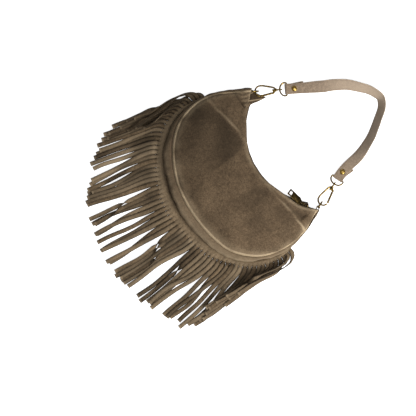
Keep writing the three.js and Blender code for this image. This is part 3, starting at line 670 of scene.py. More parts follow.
# painted shade: darker on the lower side of the bulge down into the groove, except at the ear ends, a painted shadow
# line along the seam at the top, and darker towards the left end, away from the key; 'tone' is painted light, lighter
# towards the right end, where the key falls
wear_g = 0.30 * np.exp(-((kk - 0.34) / 0.10) ** 2) * smooth(-0.5, 0.6, sg_) + 0.14 * np.exp(-((kk - 0.30) / 0.12) ** 2) + 0 * arcl
shade_g = (1 - smooth(0.66, 0.80, abs(sg_))) * smooth(0.50, 0.62, kk) + 0.8 * np.exp(-(kk / 0.03) ** 2) + 0.62 * smooth(0.15, -0.6, sg_) + 0 * arcl
gusset = make("gusset_suede", V, F, M_BODY, "bag", ["bottom_gusset"], "body_suede",
              {"wear": np.tile(wear_g.ravel(), 2), "shade": np.tile(np.clip(shade_g, 0, 1).ravel(), 2), "tone": np.tile((0.07 + 0.15 * smooth(-0.35, 0.45, sg_) + 0 * kk).ravel(), 2)}, sharp=60)

# ------------------------------------------------------------------ back panel

SB = np.linspace(-1, 1, 301)
vb = np.linspace(0, 1, 41)
ta, td = BACK_TOP.at(SB), BACK_SEAM.at(SB)
XY = ta[:, None] * (1 - vb[None, :, None]) + td[:, None] * vb[None, :, None]
lift = 1.6 * np.exp(-(vb[None, :] / 0.05) ** 2) * smooth(1.0, 0.75, abs(SB))[:, None]
zb_ = 0.85 + 0.12 * (1 + Waves(31, 34, 10)(XY[..., 0], XY[..., 1])) * smooth(0, 0.2, vb)[None, :] + lift
P_B = np.concatenate([XY, zb_[..., None]], -1)
V, F, idx = grid_sheet(P_B, 1.3)
V[:, 2] = np.maximum(V[:, 2], 0.05)
w_b = 0.5 * np.exp(-(vb[None, :] / 0.012) ** 2) + 0 * SB[:, None]
# the left end runs out into a tongue under the hook: folded, its raw edge pale against the darker inside
e0, e1 = np.array([-94.8, 68.8]), np.array([-86.6, 89.8])
ed = (e1 - e0) / np.linalg.norm(e1 - e0)
rel = XY - e0
off_e = rel[..., 0] * -ed[1] + rel[..., 1] * ed[0]
on_t = smooth(-84.0, -87.0, XY[..., 0]) * smooth(63, 67, XY[..., 1])
w_b = np.maximum(w_b, on_t * np.exp(-(off_e / 0.75) ** 2))
sh_b = np.clip(on_t * smooth(0.3, 1.6, off_e) * 0.75, 0, 1)
back = make("back_panel_suede", V, F, M_BODY, "bag", ["back_panel"], "body_suede",
            {"wear": np.tile(w_b.ravel(), 2), "shade": np.tile(sh_b.ravel(), 2), "tone": np.zeros(len(V))}, sharp=60)

# ------------------------------------------------------------------ zip

ZC, ZR, ZZ = np.array([0, 144.1]), 124.8, 11.0
HALF = math.radians(51)
SL = math.radians(46.5)
K = math.sqrt(0.5)


def zip_frame(a):
    er = np.array([math.sin(a), -math.cos(a), 0])
    t = np.array([math.cos(a), math.sin(a), 0])
    n = -er * K + np.array([0, 0, K])
    l = er * K + np.array([0, 0, K])
    o = np.array([ZC[0], ZC[1], ZZ]) + er * ZR
    return o, t, n, l


def zip_sweep(section, a0, a1, count):
    S_ = []
    for a in np.linspace(a0, a1, count):
        o, t, n, l = zip_frame(a)
        S_.append([o + l * p[0] + n * p[1] for p in section])
    return sweep(np.array(S_))


def rrect(l0, l1, n0, n1, r=0.12):
    return [(l0 + r, n0), (l1 - r, n0), (l1, n0 + r), (l1, n1 - r), (l1 - r, n1), (l0 + r, n1), (l0, n1 - r), (l0, n0 + r)]


for side, sg in (("front", 1), ("back", -1)):
    l0, l1 = sorted((sg * 2.6, sg * 6.8))
    V, F = zip_sweep(rrect(l0, l1, -0.3, 0.3), -HALF, HALF, 120)
    make(f"zip_tape_{side}_woven", V, F, M_TAPE, "bag", [f"zip_tape_{side}"], "zip_tape", sharp=50)
    teeth = Parts()
    pitch = 2.0
    count = int(2 * HALF * 0.97 * ZR / pitch)
    for i in range(count):
        a = -HALF * 0.965 + (i + (0.5 if sg < 0 else 0)) * pitch / ZR
        o, t, n, l = zip_frame(a)
        M = basis(o, l * sg, t * sg, n)
        body_ = bevelled(*box(0.9, 2.95, -0.5, 0.5, -0.85, 0.85), 0.18, 2)
        head = bevelled(*box(-0.35, 1.0, -0.62, 0.62, -0.85, 0.85), 0.22, 2)
        teeth.add(body_, M).add(head, M)
    teeth.make(f"zip_teeth_{side}_row", M_BRASS, "bag", replaces=[f"zip_teeth_{side}"], slot="antique_brass", sharp=40)

for side, sg in (("left", -1), ("right", 1)):
    o, t, n, l = zip_frame(sg * HALF * 0.989)
    st = Parts().add(bevelled(*box(-2.9, 2.9, -1.0, 1.0, -1.2, 1.2), 0.35, 3), basis(o, l, t, n))
    st.make(f"zip_stop_{side}_clip", M_BRASS, "bag", replaces=[f"zip_stop_{side}"], slot="antique_brass", sharp=40)

# facings: turned-in suede from each top edge down to the zip
ff, fb = [], []
facings, tabs = {}, {}
sF = np.linspace(-0.985, 0.985, 181)
for s in sF:
    o, t, n, l = zip_frame(s * HALF)
    i = np.clip(np.searchsorted(S, s), 1, NS - 1)
    w = (s - S[i - 1]) / (S[i] - S[i - 1])
    te = lerp(P_FRONT[i - 1, 0], P_FRONT[i, 0], w) + np.array([0, 0, -1.0])
    le = np.append(BACK_TOP.at(np.array(s * (0.93 if s > 0 else 0.70))), 2.6)
    fold_f, fold_b = o + l * 8.2 + n * 1.9, o - l * 8.2 + n * 1.75
    ff.append(resample(catmull([o + l * 5.0 + n * 1.5, fold_f, lerp(fold_f, te, 0.5), te], 8), 14))
    fb.append(resample(catmull([o - l * 5.0 + n * 1.5, fold_b, le], 8), 10))
for nm, P, node in (("zip_facing_front_suede", np.array(ff), "zip_facing_front"), ("zip_facing_back_suede", np.array(fb), "zip_facing_back")):
    nrm = normals(P)
    P = P + nrm * (0.35 * Waves(41, 22, 10)(P[..., 0], P[..., 2] * 2))[..., None] * np.sin(np.linspace(0, np.pi, P.shape[1]))[None, :, None]
    V, F, idx = grid_sheet(P, 1.1)
    w_ = np.zeros(P.shape[:2])
    w_[:, 0] = w_[:, -1] = 0.35
    facings[node] = make(nm, V, F, M_INNER, "bag", [node], "body_suede",
         {"wear": np.concatenate([w_.ravel()] * 2), "shade": np.zeros(len(V)), "tone": np.zeros(len(V))}, sharp=60)

# slider
o, t, n, l = zip_frame(SL)
MZ = basis(o, l, t, n)          # local x = across the zip, y = along it, z = out of the mouth
sl = Parts()


def shield(z0, z1):
    pts = [(-4.6, -5.4), (4.6, -5.4), (4.9, -2.0), (4.2, 3.4), (2.4, 5.4), (-2.4, 5.4), (-4.2, 3.4), (-4.9, -2.0)]
    return bevelled(*prism(pts, z0, z1), 0.4, 3)


sl.add(shield(1.2, 2.4), MZ).add(shield(-2.4, -1.2), MZ)
sl.add(box(-0.4, 0.4, -1.5, 1.5, -2, 2), MZ)
for sg in (-1, 1):
    for z0 in (0.65, -1.6):
        sl.add(bevelled(*box(*sorted((sg * 3.8, sg * 4.6)), -4.8, 4.0, z0, z0 + 0.95), 0.2, 2), MZ)
arch = catmull([[-3.9, 2.0], [-3.9, 4.4], [-2.6, 6.6], [0, 7.2], [2.6, 6.6], [3.9, 4.4], [3.9, 2.0]], 10)
sl.add(tube(np.stack([0 * arch[:, 0], arch[:, 0], arch[:, 1]], -1), 0.62, (1, 0, 0), 12), MZ)
sl.make("zip_slider_cast", M_DARK, "zip_slider", replaces=["zip_slider"], slot="dark_brass", sharp=40)

# pull: flat plate with an eye at the crown and a square window at the far end
beta = math.radians(38)
d = -t * math.cos(beta) + n * math.sin(beta)
face = np.cross(d, l)
roll = math.radians(35)
across = l * math.cos(roll) - face * math.sin(roll)
MP = basis(o + n * 4.8, d, across, np.cross(d, across))


def rsq(x0, x1, y0, y1, r, k=4):
    pts = []
    for cx, cy, a0 in ((x1 - r, y1 - r, 0), (x0 + r, y1 - r, 90), (x0 + r, y0 + r, 180), (x1 - r, y0 + r, 270)):
        for a in np.linspace(a0, a0 + 90, k):
            pts.append((cx + r * math.cos(math.radians(a)), cy + r * math.sin(math.radians(a))))
    return pts


plate = [(-0.9, -2.7), (0.6, -3.0), (6.2, -3.1), (8.8, -4.6), (10.4, -5.0), (32.2, -5.0), (33.0, -4.2), (33.0, 4.2), (32.2, 5.0), (10.4, 5.0),
         (8.8, 4.6), (6.2, 3.1), (0.6, 3.0), (-0.9, 2.7)]
pl = Parts().add(bevelled(*prism(plate, -0.6, 0.6, [rsq(0.9, 6.0, -1.6, 1.6, 0.5), rsq(25.4, 30.8, -2.7, 2.7, 0.5)]), 0.28, 3), MP)
rim = np.array(rsq(24.9, 31.3, -3.2, 3.2, 0.7, 6))
for zz in (0.5, -0.5):
    pl.add(tube(np.stack([rim[:, 0], rim[:, 1], np.full(len(rim), zz)], -1), 0.32, (0, 0, 1), 8, closed=True), MP)
pl.make("zip_pull_plate", M_DARK, "zip_pull", replaces=["zip_pull"], slot="dark_brass", sharp=40)

# ------------------------------------------------------------------ fringe

E_LEN = HEADER.ll + HEADER.lr
NF = int(round(E_LEN / 7.0))
PITCH = E_LEN / NF
ACROSS = 6
cols = NF * ACROSS + 1
gE = np.linspace(0, E_LEN, cols)
sE = np.where(gE < HEADER.ll, gE / HEADER.ll - 1, (gE - HEADER.ll) / HEADER.lr)
Ee, En = HEADER.at(sE), HEADER.out(sE)
En = np.stack([np.convolve(np.pad(En[:, k], 8, mode="edge"), np.ones(17) / 17, "valid") for k in (0, 1)], -1)
En /= np.linalg.norm(En, axis=1, keepdims=True)
Di = BACK_SEAM.at(sE * 0.765) + BACK_SEAM.out(sE * 0.765) * 0.4
HR = 12
r_ = np.linspace(0, 1, HR)
edge_z = 8.2 + 0.5 * Waves(51, 34, 8, 1)(gE)
H = np.zeros((cols, HR, 3))
H[..., :2] = Di[:, None] * (1 - r_[None, :, None]) + Ee[:, None] * r_[None, :, None]
prof = np.interp(r_, [0, 0.15, 0.3, 0.5, 0.7, 0.85, 1.0], [0.20, 0.70, 1.06, 1.24, 1.26, 1.16, 1.0])
H[..., 2] = edge_z[:, None] * prof[None, :]
H[:, 0, 2] = 1.5
# each tongue already rounds over before its slit starts
ph = (np.arange(cols) % ACROSS) / ACROSS
notch = np.exp(-(np.minimum(ph, 1 - ph) / 0.14) ** 2)
H[..., 2] -= 0.85 * notch[:, None] * smooth(0.42, 1.0, r_)[None, :]

# strands: each leaves the header square and is combed towards the hanging side
T_F = 1.25
STEP = 2.0
grid_x, grid_y = np.arange(-180, 181), np.arange(-266, 44)
height = np.zeros((len(grid_x), len(grid_y)))


def look(x, y):
    i = np.clip(np.rint(x - grid_x[0]).astype(int), 0, len(grid_x) - 1)
    j = np.clip(np.rint(y - grid_y[0]).astype(int), 0, len(grid_y) - 1)
    return i, j


mid_s = np.array([sE[i * ACROSS + ACROSS // 2] for i in range(NF)])
clump = np.zeros(NF, int)
i = c = 0
while i < NF:
    k = int(rng.choice([2, 3, 3, 4, 5, 6]))
    clump[i:i + k] = c
    i += k
    c += 1
clump_tilt = rng.uniform(0.5, 5.0, c) * np.where(np.arange(c) % 2 == 0, 1, -1) * rng.choice([1, 1, 1, -0.5], c)
clump_pull = rng.uniform(0.0, 0.36, c)
clump_wig = [(rng.uniform(1.5, 6.0), rng.uniform(70, 130), rng.uniform(0, 6.3)) for _ in range(c)]
COMB = [[-1, 0.5], [-0.86, 2.0], [-0.72, 9.0], [-0.5, 7.5], [-0.3, 6.0], [0, 0], [0.3, 7.0], [0.5, 10.5], [0.66, 16.0], [0.8, 8.0], [0.9, 3.0], [1, 1.0]]
LENGTH = [[-1, 114], [-0.8, 112], [-0.6, 110], [-0.4, 116], [0, 122.5], [0.3, 126], [0.6, 129], [0.8, 126], [1, 122]]
strands = {}
for i in range(NF):
    s = mid_s[i]
    m = i * ACROSS + ACROSS // 2
    root = Ee[m]
    nx, ny = En[m]
    a0 = math.degrees(math.atan2(ny, nx))
    if s < 0 and a0 < 0:
        a0 += 360
    far = float(smooth(0.62, 0.82, abs(s)))
    rank = float(np.clip((abs(s) - 0.66) / 0.34, 0, 1))
    tilt = float(table(COMB, s)) + clump_tilt[clump[i]] * (1 - 0.6 * far)
    a1 = (-90 + tilt) if s > 0 else (270 - tilt)
    L = float(table(LENGTH, s)) + rng.normal(0, 3.2)
    # the higher a tongue starts on the side, the wider it swings out before it hangs
    lam = lerp(rng.uniform(11, 16), 5.5 + (8.5 if s > 0 else 10.5) * rank + rng.normal(0, 3.0), far)
    lam = float(np.clip(lam, 4.5, 19 if s > 0 else 21))
    nrow = int(L / STEP) + 1
    ll = np.linspace(0, L, nrow)
    amp, wl, ph0 = clump_wig[clump[i]]
    wig = amp * np.sin(2 * np.pi * ll / wl + ph0) * smooth(10, 45, ll)
    wig = wig + (rng.normal(0, 1.9 + 3.0 * far) + rng.uniform(0.5, 2.0 + 2.0 * far) * np.sin(2 * np.pi * ll / rng.uniform(50, 110) + rng.uniform(0, 6.3))) * smooth(14, 70 - 30 * far, ll)
    if rng.random() < 0.22:
        wig = wig + rng.choice([-1, 1]) * rng.uniform(5, 10) * np.sin(np.pi * np.clip((ll - 18) / rng.uniform(70, 100), 0, 1.6))
    flare = 7.0 * float(smooth(0.6, 0.85, abs(s))) * smooth(75, 126, ll) * (1 if s > 0 else -1)
    ang = a1 + (a0 - a1) * np.exp(-(ll / lam) ** 1.5) + wig + flare
    ar = np.radians(ang)
    step = L / (nrow - 1)
    mid_a = (ar[1:] + ar[:-1]) / 2
    P = root + np.concatenate([[[0, 0]], np.cumsum(np.stack([np.cos(mid_a), np.sin(mid_a)], -1) * step, 0)])
    strands[i] = dict(P=P, ll=ll, w=PITCH * rng.uniform(0.95, 1.04), L=L, far=far)
# neighbours in a clump lie closer together towards their ends
for c_ in range(c):
    ids = [i for i in range(NF) if clump[i] == c_]
    tip_mean = np.mean([strands[i]["P"][-1] for i in ids], 0)
    for i in ids:
        st = strands[i]
        off = (tip_mean - st["P"][-1]) * np.array([1.0, 0.25]) * clump_pull[c_]
        st["P"] = st["P"] + np.outer(smooth(6, 80, st["ll"]), off)
        # stay inside the outline of the combed fringe
        lim = np.interp(-st["P"][:, 1], [0, 25, 90, 150], [156, 156, 155, 161]) + 3.5 * math.sin(i * 2.4)
        over = np.maximum(np.abs(st["P"][:, 0]) - lim, 0)
        st["P"][:, 0] -= np.sign(st["P"][:, 0]) * 4.0 * (over / 4.0 - np.tanh(over / 4.0))

lay_order = sorted(range(NF), key=lambda i: abs(mid_s[i]) + 0.10 * math.sin(i * 12.9898))
for i in lay_order:
    st = strands[i]
    P, ll, w = st["P"], st["ll"], st["w"]
    Tn = np.gradient(P, axis=0)
    Tn /= np.linalg.norm(Tn, axis=1, keepdims=True)
    ang = np.unwrap(np.arctan2(Tn[:, 1], Tn[:, 0]))
    kap = np.gradient(ang, ll)
    bank = np.zeros(len(ll))
    loop = float(smooth(0.84, 0.93, abs(mid_s[i])))
    hold, gain = lerp(lerp(rng.uniform(10, 42), rng.uniform(25, 110), st["far"]), rng.uniform(90, 260), loop), lerp(rng.uniform(0.5, 0.95), 1.0, loop)
    for k in range(1, len(ll)):
        dl = ll[k] - ll[k - 1]
        bank[k] = bank[k - 1] * math.exp(-dl / hold) + kap[k] * dl * gain
    bank = np.clip(bank, -1.25, 1.25) * smooth(0, 5, ll)
    bank = bank + 0.10 * smooth(0, 6, ll) + lerp(rng.uniform(0.05, 0.38), rng.uniform(0.2, 0.6), st["far"]) * np.sin(ll / rng.uniform(12, 28) + rng.uniform(0, 6.3)) * smooth(8, 40, ll)
    if rng.random() < 0.14:
        bank = bank + math.pi * smooth(*(np.array([0, 36]) + rng.uniform(20, 60)), ll) * rng.choice([-1, 1])
    nl = np.stack([-Tn[:, 1], Tn[:, 0]], -1)
    hw = w / 2 * np.abs(np.cos(bank)) + 0.25
    root_z = edge_z[i * ACROSS + ACROSS // 2] - 0.1
    lean = np.sin(bank) * np.where(np.cos(bank) < 0, -1, 1) * w / 2 * 0.9
    zmin = np.zeros(len(ll))
    for oq in np.linspace(-1, 1, 9):
        q2 = P + nl * (hw * oq)[:, None]
        ii, jj = look(q2[:, 0], q2[:, 1])
        zmin = np.maximum(zmin, height[ii, jj] + T_F / 2 * np.abs(np.cos(bank)) - lean * oq + 0.1)
    arch = root_z * np.exp(-(ll / 15.0) ** 1.7) + 0.5 * np.abs(np.sin(ll / 23.0 + i)) * smooth(10, 40, ll)
    zmin = np.maximum(zmin, arch)
    zmin[0] = root_z
    env = np.max(zmin[None, :] - 0.24 * np.abs(ll[:, None] - ll[None, :]), 1)
    ker = np.exp(-0.5 * (np.arange(-4, 5) / 1.7) ** 2)
    zs = np.convolve(np.pad(env, 4, mode="edge"), ker / ker.sum(), "valid")
    zs = np.maximum(zs, zmin - 0.4)
    blend = smooth(0, 8, ll)
    zs = root_z * (1 - blend) + zs * blend
    st.update(z=zs, bank=bank, nl=nl, Tn=Tn)
    for oq in np.linspace(-1, 1, 9):
        qx = P + nl * (hw * oq)[:, None]
        zt = zs + T_F / 2 * np.abs(np.cos(bank)) + lean * oq
        for qq, zq in ((qx, zt), ((qx[1:] + qx[:-1]) / 2, (zt[1:] + zt[:-1]) / 2)):
            ii, jj = look(qq[:, 0], qq[:, 1])
            np.maximum.at(height, (ii, jj), zq)

# one closed skin: header grid plus its tongues
HN = normals(H)
if HN[cols // 2, 5, 2] < 0:
    HN = -HN
mid_v, nrm_v, tone_and_light_v, wear_and_highlight_v, shade_v = [H.reshape(-1, 3)], [HN.reshape(-1, 3)], [], [], []
hid = np.arange(cols * HR).reshape(cols, HR)
# header colour: 'tone' is painted light, lighter towards the left end, which the key leaves in shade; 'wear' is a
# painted highlight on the rounded start of each tongue; 'shade' is painted shade along the inner edge under the gusset
# and in the slits
tone_and_light_v.append(np.repeat(0.10 + 0.26 * smooth(0.1, -0.5, sE), HR))
wear_and_highlight_v.append((0.18 * (1 - notch)[:, None] * smooth(0.5, 0.9, r_)[None, :]).ravel())
shade_v.append(np.clip(0.6 * np.exp(-(r_ / 0.20) ** 2)[None, :] + 0.45 * notch[:, None] * smooth(0.6, 1.0, r_)[None, :], 0, 1).ravel())
count = cols * HR
quads, walls = [], []
for a in range(cols - 1):
    for b in range(HR - 1):
        quads.append((hid[a, b], hid[a + 1, b], hid[a + 1, b + 1], hid[a, b + 1]))
walls += [(hid[a, 0], hid[a + 1, 0]) for a in range(cols - 1)]
walls += [(hid[0, b + 1], hid[0, b]) for b in range(HR - 1)]
walls += [(hid[cols - 1, b], hid[cols - 1, b + 1]) for b in range(HR - 1)]
u_ = np.array([-0.5, -0.38, -0.2, 0.0, 0.2, 0.38, 0.5])
for i in range(NF):
    st = strands[i]
    P, z, bank, nl, ll, w = st["P"], st["z"], st["bank"], st["nl"], st["ll"], st["w"]
    base = hid[i * ACROSS:(i + 1) * ACROSS + 1, HR - 1]
    sgn = np.sign(np.dot(nl[0], Ee[(i + 1) * ACROSS] - Ee[i * ACROSS])) or 1.0
    T3 = np.concatenate([st["Tn"], np.gradient(z, ll)[:, None]], 1)
    T3 /= np.linalg.norm(T3, axis=1, keepdims=True)
    Lt = np.concatenate([nl * np.cos(bank)[:, None], np.sin(bank)[:, None]], 1)
    Nn = np.cross(T3, Lt)
    Nn /= np.linalg.norm(Nn, axis=1, keepdims=True)
    tone = float(np.clip(rng.normal(0.14, 0.15), 0, 0.55))
    # 'tone' is a random lightening of each strand; 'dim' a random darkening, and its larger share in the side bunches
    # is painted shade
    dim = float(np.clip(rng.normal(0.10 + 0.10 * st["far"], 0.28), 0, 0.85))
    curl = lerp(0.8, rng.uniform(0.3, 1.0), smooth(8, 50, ll))
    f = smooth(0, 6, ll)
    half = lerp(PITCH * 0.995, w, f) + PITCH * 0.13 * smooth(3, 9, ll) * (1 - smooth(30, 60, ll))
    ctr = np.concatenate([P, z[:, None]], 1)
    Q = ctr[1:, None] + Lt[1:, None] * (sgn * u_[None, :, None] * half[1:, None, None]) + Nn[1:, None] * (curl[1:, None] * (1 - 4 * u_[None] ** 2 - 0.5))[..., None]
    # the first rows run on from the header edge
    start = (H[i * ACROSS:(i + 1) * ACROSS + 1, HR - 1] - (ctr[0] + Lt[0] * (sgn * u_[:, None] * half[0])))
    Q += start[None] * np.exp(-(ll[1:, None, None] / 3.5) ** 2)
    rows_n = len(ll) - 1
    ids = count + np.arange(rows_n * (ACROSS + 1)).reshape(rows_n, ACROSS + 1)
    count += ids.size
    mid_v.append(Q.reshape(-1, 3))
    nrm_v.append(np.repeat(Nn[1:], ACROSS + 1, 0))
    edge_u = (abs(u_) > 0.49)[None, :]
    tone_and_light_v.append(np.full(ids.size, tone))
    wear_and_highlight_v.append((0.30 * (np.arange(rows_n) >= rows_n - 2)[:, None] + 0 * u_[None]).ravel())
    # 'shade' adds painted shade along both edges of each strand, the shadow between neighbours, easing off a little
    # towards the tip
    shade_v.append(np.clip(dim * smooth(0, 14, ll[1:])[:, None] + np.interp(abs(u_), [0.3, 0.38, 0.5], [0.0, 0.5, 1.0])[None, :] * (1 - 0.25 * smooth(10, 70, ll[1:]))[:, None], 0, 1).ravel())
    prev = base
    for k in range(rows_n):
        row = ids[k]
        for j in range(ACROSS):
            quads.append((prev[j], prev[j + 1], row[j + 1], row[j]))
        walls.append((prev[0], row[0]))
        walls.append((row[ACROSS], prev[ACROSS]))
        prev = row
    walls += [(prev[j + 1], prev[j]) for j in range(ACROSS)]
mid_v, nrm_v = np.concatenate(mid_v), np.concatenate(nrm_v)
Vf = np.concatenate([mid_v + nrm_v * T_F / 2, mid_v - nrm_v * T_F / 2])
Ff = [list(q_) for q_ in quads] + [[a + count for a in reversed(q_)] for q_ in quads]
Ff += [[b, a, a + count, b + count] for a, b in walls]
Vf[:, 2] = np.maximum(Vf[:, 2], 0.05)
fringe = make("fringe_strip", Vf, Ff, M_FRINGE, "bag", ["fringe"], "fringe_suede",
              {"wear": np.tile(np.concatenate(wear_and_highlight_v), 2), "tone": np.tile(np.concatenate(tone_and_light_v), 2), "shade": np.tile(np.concatenate(shade_v), 2)}, sharp=55)
bm = bmesh.new()
bm.from_mesh(fringe.data)
bmesh.ops.recalc_face_normals(bm, faces=bm.faces)
bm.to_mesh(fringe.data)
bm.free()

# ------------------------------------------------------------------ rings, hooks, tabs

HWZ = 8.4
WIRE = 1.3


def d_loop(xb, xa, half, n=96):
    sgn = math.copysign(1, xa - xb)
    reach = abs(xa - xb)
    c = 2.2
    pts = [[xb, -half + c + (2 * half - 2 * c) * q_] for q_ in np.linspace(0, 1, 7)]
    pts.append([xb + sgn * 0.65, half - 0.65])
    for q_ in np.linspace(0, 1, 15):
        a = math.pi / 2 - math.pi * q_
        pts.append([xb + sgn * reach * (0.24 + 0.76 * math.cos(a)), half * math.sin(a)])
    pts.append([xb + sgn * 0.65, -half + 0.65])
    P = catmull(pts, 8, closed=True)
    P = np.vstack([P, P[:1]])
    return resample(P, n + 1)[:-1]


for side, sg in (("left", -1), ("right", 1)):
    dv = np.array([sg * 0.436, -0.9, 0])
    dv /= np.linalg.norm(dv)
    yv = np.array([-dv[1], dv[0], 0])
    MH = basis((sg * 85.8, 119.4, HWZ), dv, yv, (0, 0, 1))

    P = d_loop(-11, 0, 10.4)
    Parts().add(tube(np.stack([P[:, 0], P[:, 1], 0 * P[:, 0]], -1), WIRE, (0, 0, 1), 16, True), MH).make(
        f"strap_ring_{side}_wire", M_BRASS, f"strap_ring_{side}", replaces=[f"strap_ring_{side}"], slot="antique_brass", sharp=60)

    # swivel: eye, collar and headed stem
    a = np.linspace(0, 2 * np.pi, 40, endpoint=False)
    sw = Parts()
    sw.add(tube(np.stack([2.9 * np.cos(a), 0 * a, 2.9 * np.sin(a)], -1), 1.05, (0, 1, 0), 14, True), MH)
    turn = basis((0, 0, 0), (0, 0, -1), (0, 1, 0), (1, 0, 0))
    sw.add(lathe([(0, 3.0), (1.25, 3.0), (1.7, 3.5), (1.7, 4.3), (1.25, 4.8), (1.25, 10.1), (1.9, 10.2), (1.9, 11.2), (1.5, 11.7), (0, 11.8)], 24), MH @ turn)
    sw.make(f"hook_{side}_swivel_eye", M_BRASS, f"strap_ring_{side}", replaces=[f"hook_{side}_swivel"], slot="antique_brass", sharp=40)

    # hook body: bored base, spine and bow, cheeks
    path = [[7.2, -2.4], [9.5, -3.9], [12, -4.7], [15, -5.5], [18, -6.2], [21, -6.9], [24, -7.6], [27, -8.1]]
    for q_ in np.linspace(0, 1, 13):
        an = math.radians(-84 + 162 * q_)
        path.append([30.5 + 8.2 * math.cos(an), 8.2 * math.sin(an)])
    P = resample(catmull(path, 8), 110)
    rad = 1.4 * (1 - 0.06 * np.cos(np.linspace(0, 9, len(P))))
    rad[-2:] *= [0.97, 0.86]
    hb = Parts().add(tube(np.stack([P[:, 0], P[:, 1], 0 * P[:, 0]], -1), rad, (0, 0, 1), 16), MH)
    # base as a bored barrel with collars
    hb.add(sweep(np.array([[(x, r * math.cos(k), r * math.sin(k)) for k in np.linspace(0, 2 * np.pi, 24, endpoint=False)]
                           for x, r in ((5.0, 1.55), (5.0, 2.7), (5.4, 3.0), (6.2, 3.0), (6.6, 2.7), (8.2, 2.7), (8.6, 3.0), (9.3, 3.0), (9.6, 2.8), (9.6, 1.55))]), closed=True), MH)
    cheek = [(6.4, 0.9), (9.4, 0.8), (12.2, 3.2), (12.5, 4.4), (12.2, 5.4), (11.4, 6.2), (10.4, 6.4), (9.6, 6.1), (6.4, 2.2)]
    hole = [(10.6 + 1.0 * math.cos(k), 4.4 + 1.0 * math.sin(k)) for k in np.linspace(0, 2 * np.pi, 14, endpoint=False)]
    for z0 in (2.15, -2.95):
        hb.add(bevelled(*prism(cheek, z0, z0 + 0.8, [hole]), 0.18, 2), MH)
    hb.make(f"hook_{side}_body_cast", M_BRASS, f"hook_{side}", replaces=[f"hook_{side}_body"], slot="antique_brass", sharp=40)

    pin = lathe([(0, -3.8), (0.9, -3.8), (1.3, -3.55), (1.3, -3.25), (0.7, -3.2), (0.7, 3.2), (1.3, 3.25), (1.3, 3.55), (0.9, 3.8), (0, 3.8)], 20)
    Parts().add(pin, MH @ basis((10.6, 4.4, 0), (1, 0, 0), (0, 1, 0), (0, 0, 1))).make(
        f"hook_{side}_pin_rivet", M_BRASS, f"hook_{side}", replaces=[f"hook_{side}_pin"], slot="antique_brass", sharp=40)

    # gate: ribbed thumb barrel
    piv, end = np.array([10.6, 4.4]), np.array([31.0, 8.15])
    gd = (end - piv) / np.linalg.norm(end - piv)
    glen = np.linalg.norm(end - piv)
    prof_g = [(1.75, 0.4), (1.8, 1.3), (2.3, 1.75), (3.4, 1.84)]
    x0 = 4.2
    while x0 < glen - 3.2:
        prof_g += [(x0, 1.84), (x0 + 0.28, 1.6), (x0 + 0.62, 1.6), (x0 + 0.9, 1.84)]
        x0 += 1.3
    prof_g += [(glen - 1.2, 1.84), (glen - 0.3, 1.7), (glen - 0.02, 1.3)]
    ring_ = np.linspace(0, 2 * np.pi, 20, endpoint=False)
    MG = MH @ basis((piv[0], piv[1], 0), (gd[0], gd[1], 0), (-gd[1], gd[0], 0), (0, 0, 1))
    gt = Parts().add(sweep(np.array([[(x, r * math.cos(k), r * math.sin(k)) for k in ring_] for x, r in prof_g])), MG)
    hole0 = [(1.0 * math.cos(k), 1.0 * math.sin(k)) for k in np.linspace(0, 2 * np.pi, 14, endpoint=False)]
    disc = [(2.0 * math.cos(k), 2.0 * math.sin(k)) for k in np.linspace(0, 2 * np.pi, 24, endpoint=False)]
    gt.add(bevelled(*prism(disc, -1.8, 0.4, [hole0]), 0.2, 2), MG)
    gt.make(f"hook_{side}_gate_barrel", M_BRASS, f"gate_{side}", replaces=[f"hook_{side}_gate"], slot="antique_brass", sharp=40)

    P = d_loop(44.5, 33.8, 7.2, 80)
    zo = 9.0 - HWZ
    Parts().add(tube(np.stack([P[:, 0], 0 * P[:, 0], P[:, 1] + zo], -1), WIRE, (0, 1, 0), 16, True), MH).make(
        f"body_ring_{side}_wire", M_BRASS, f"body_ring_{side}", replaces=[f"body_ring_{side}"], slot="antique_brass", sharp=60)

    # tab folded round the bar
    line = [[54.2, -0.85], [51.5, -0.8], [49.4, -0.85], [47.6, -1.45]]
    for q_ in np.linspace(0, 1, 11):
        an = -math.pi * 0.3 - math.pi * 1.4 * q_
        line.append([44.5 + 2.35 * math.cos(an), 2.35 * math.sin(an)])
    line += [[47.6, 1.45], [49.4, 0.85], [51.5, 0.8], [54.2, 0.85]]
    P = resample(catmull(line, 8), 90)
    zz = np.linspace(-5.05, 5.05, 13)
    G = np.zeros((len(P), len(zz), 3))
    G[..., 0], G[..., 1], G[..., 2] = P[:, None, 0], P[:, None, 1], zz[None] + zo
    G[..., 2] += 0.12 * np.sin(P[:, None, 0] * 1.3 + zz[None])
    V, F, idx = grid_sheet(G, 1.2)
    w_ = np.zeros(G.shape[:2])
    w_[:, 0] = w_[:, -1] = 0.5
    tb = Parts().add((V, F), MH, wear=np.concatenate([w_.ravel()] * 2), tone=0.05, shade=0.2)
    tabs[side] = tb.make(f"side_tab_{side}_loop", M_BODY, "bag", replaces=[f"side_tab_{side}"], slot="body_suede", sharp=60)

    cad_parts[f"hook_{side}_spring"].data.materials.clear()
    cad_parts[f"hook_{side}_spring"].data.materials.append(M_DARK)

# ------------------------------------------------------------------ strap

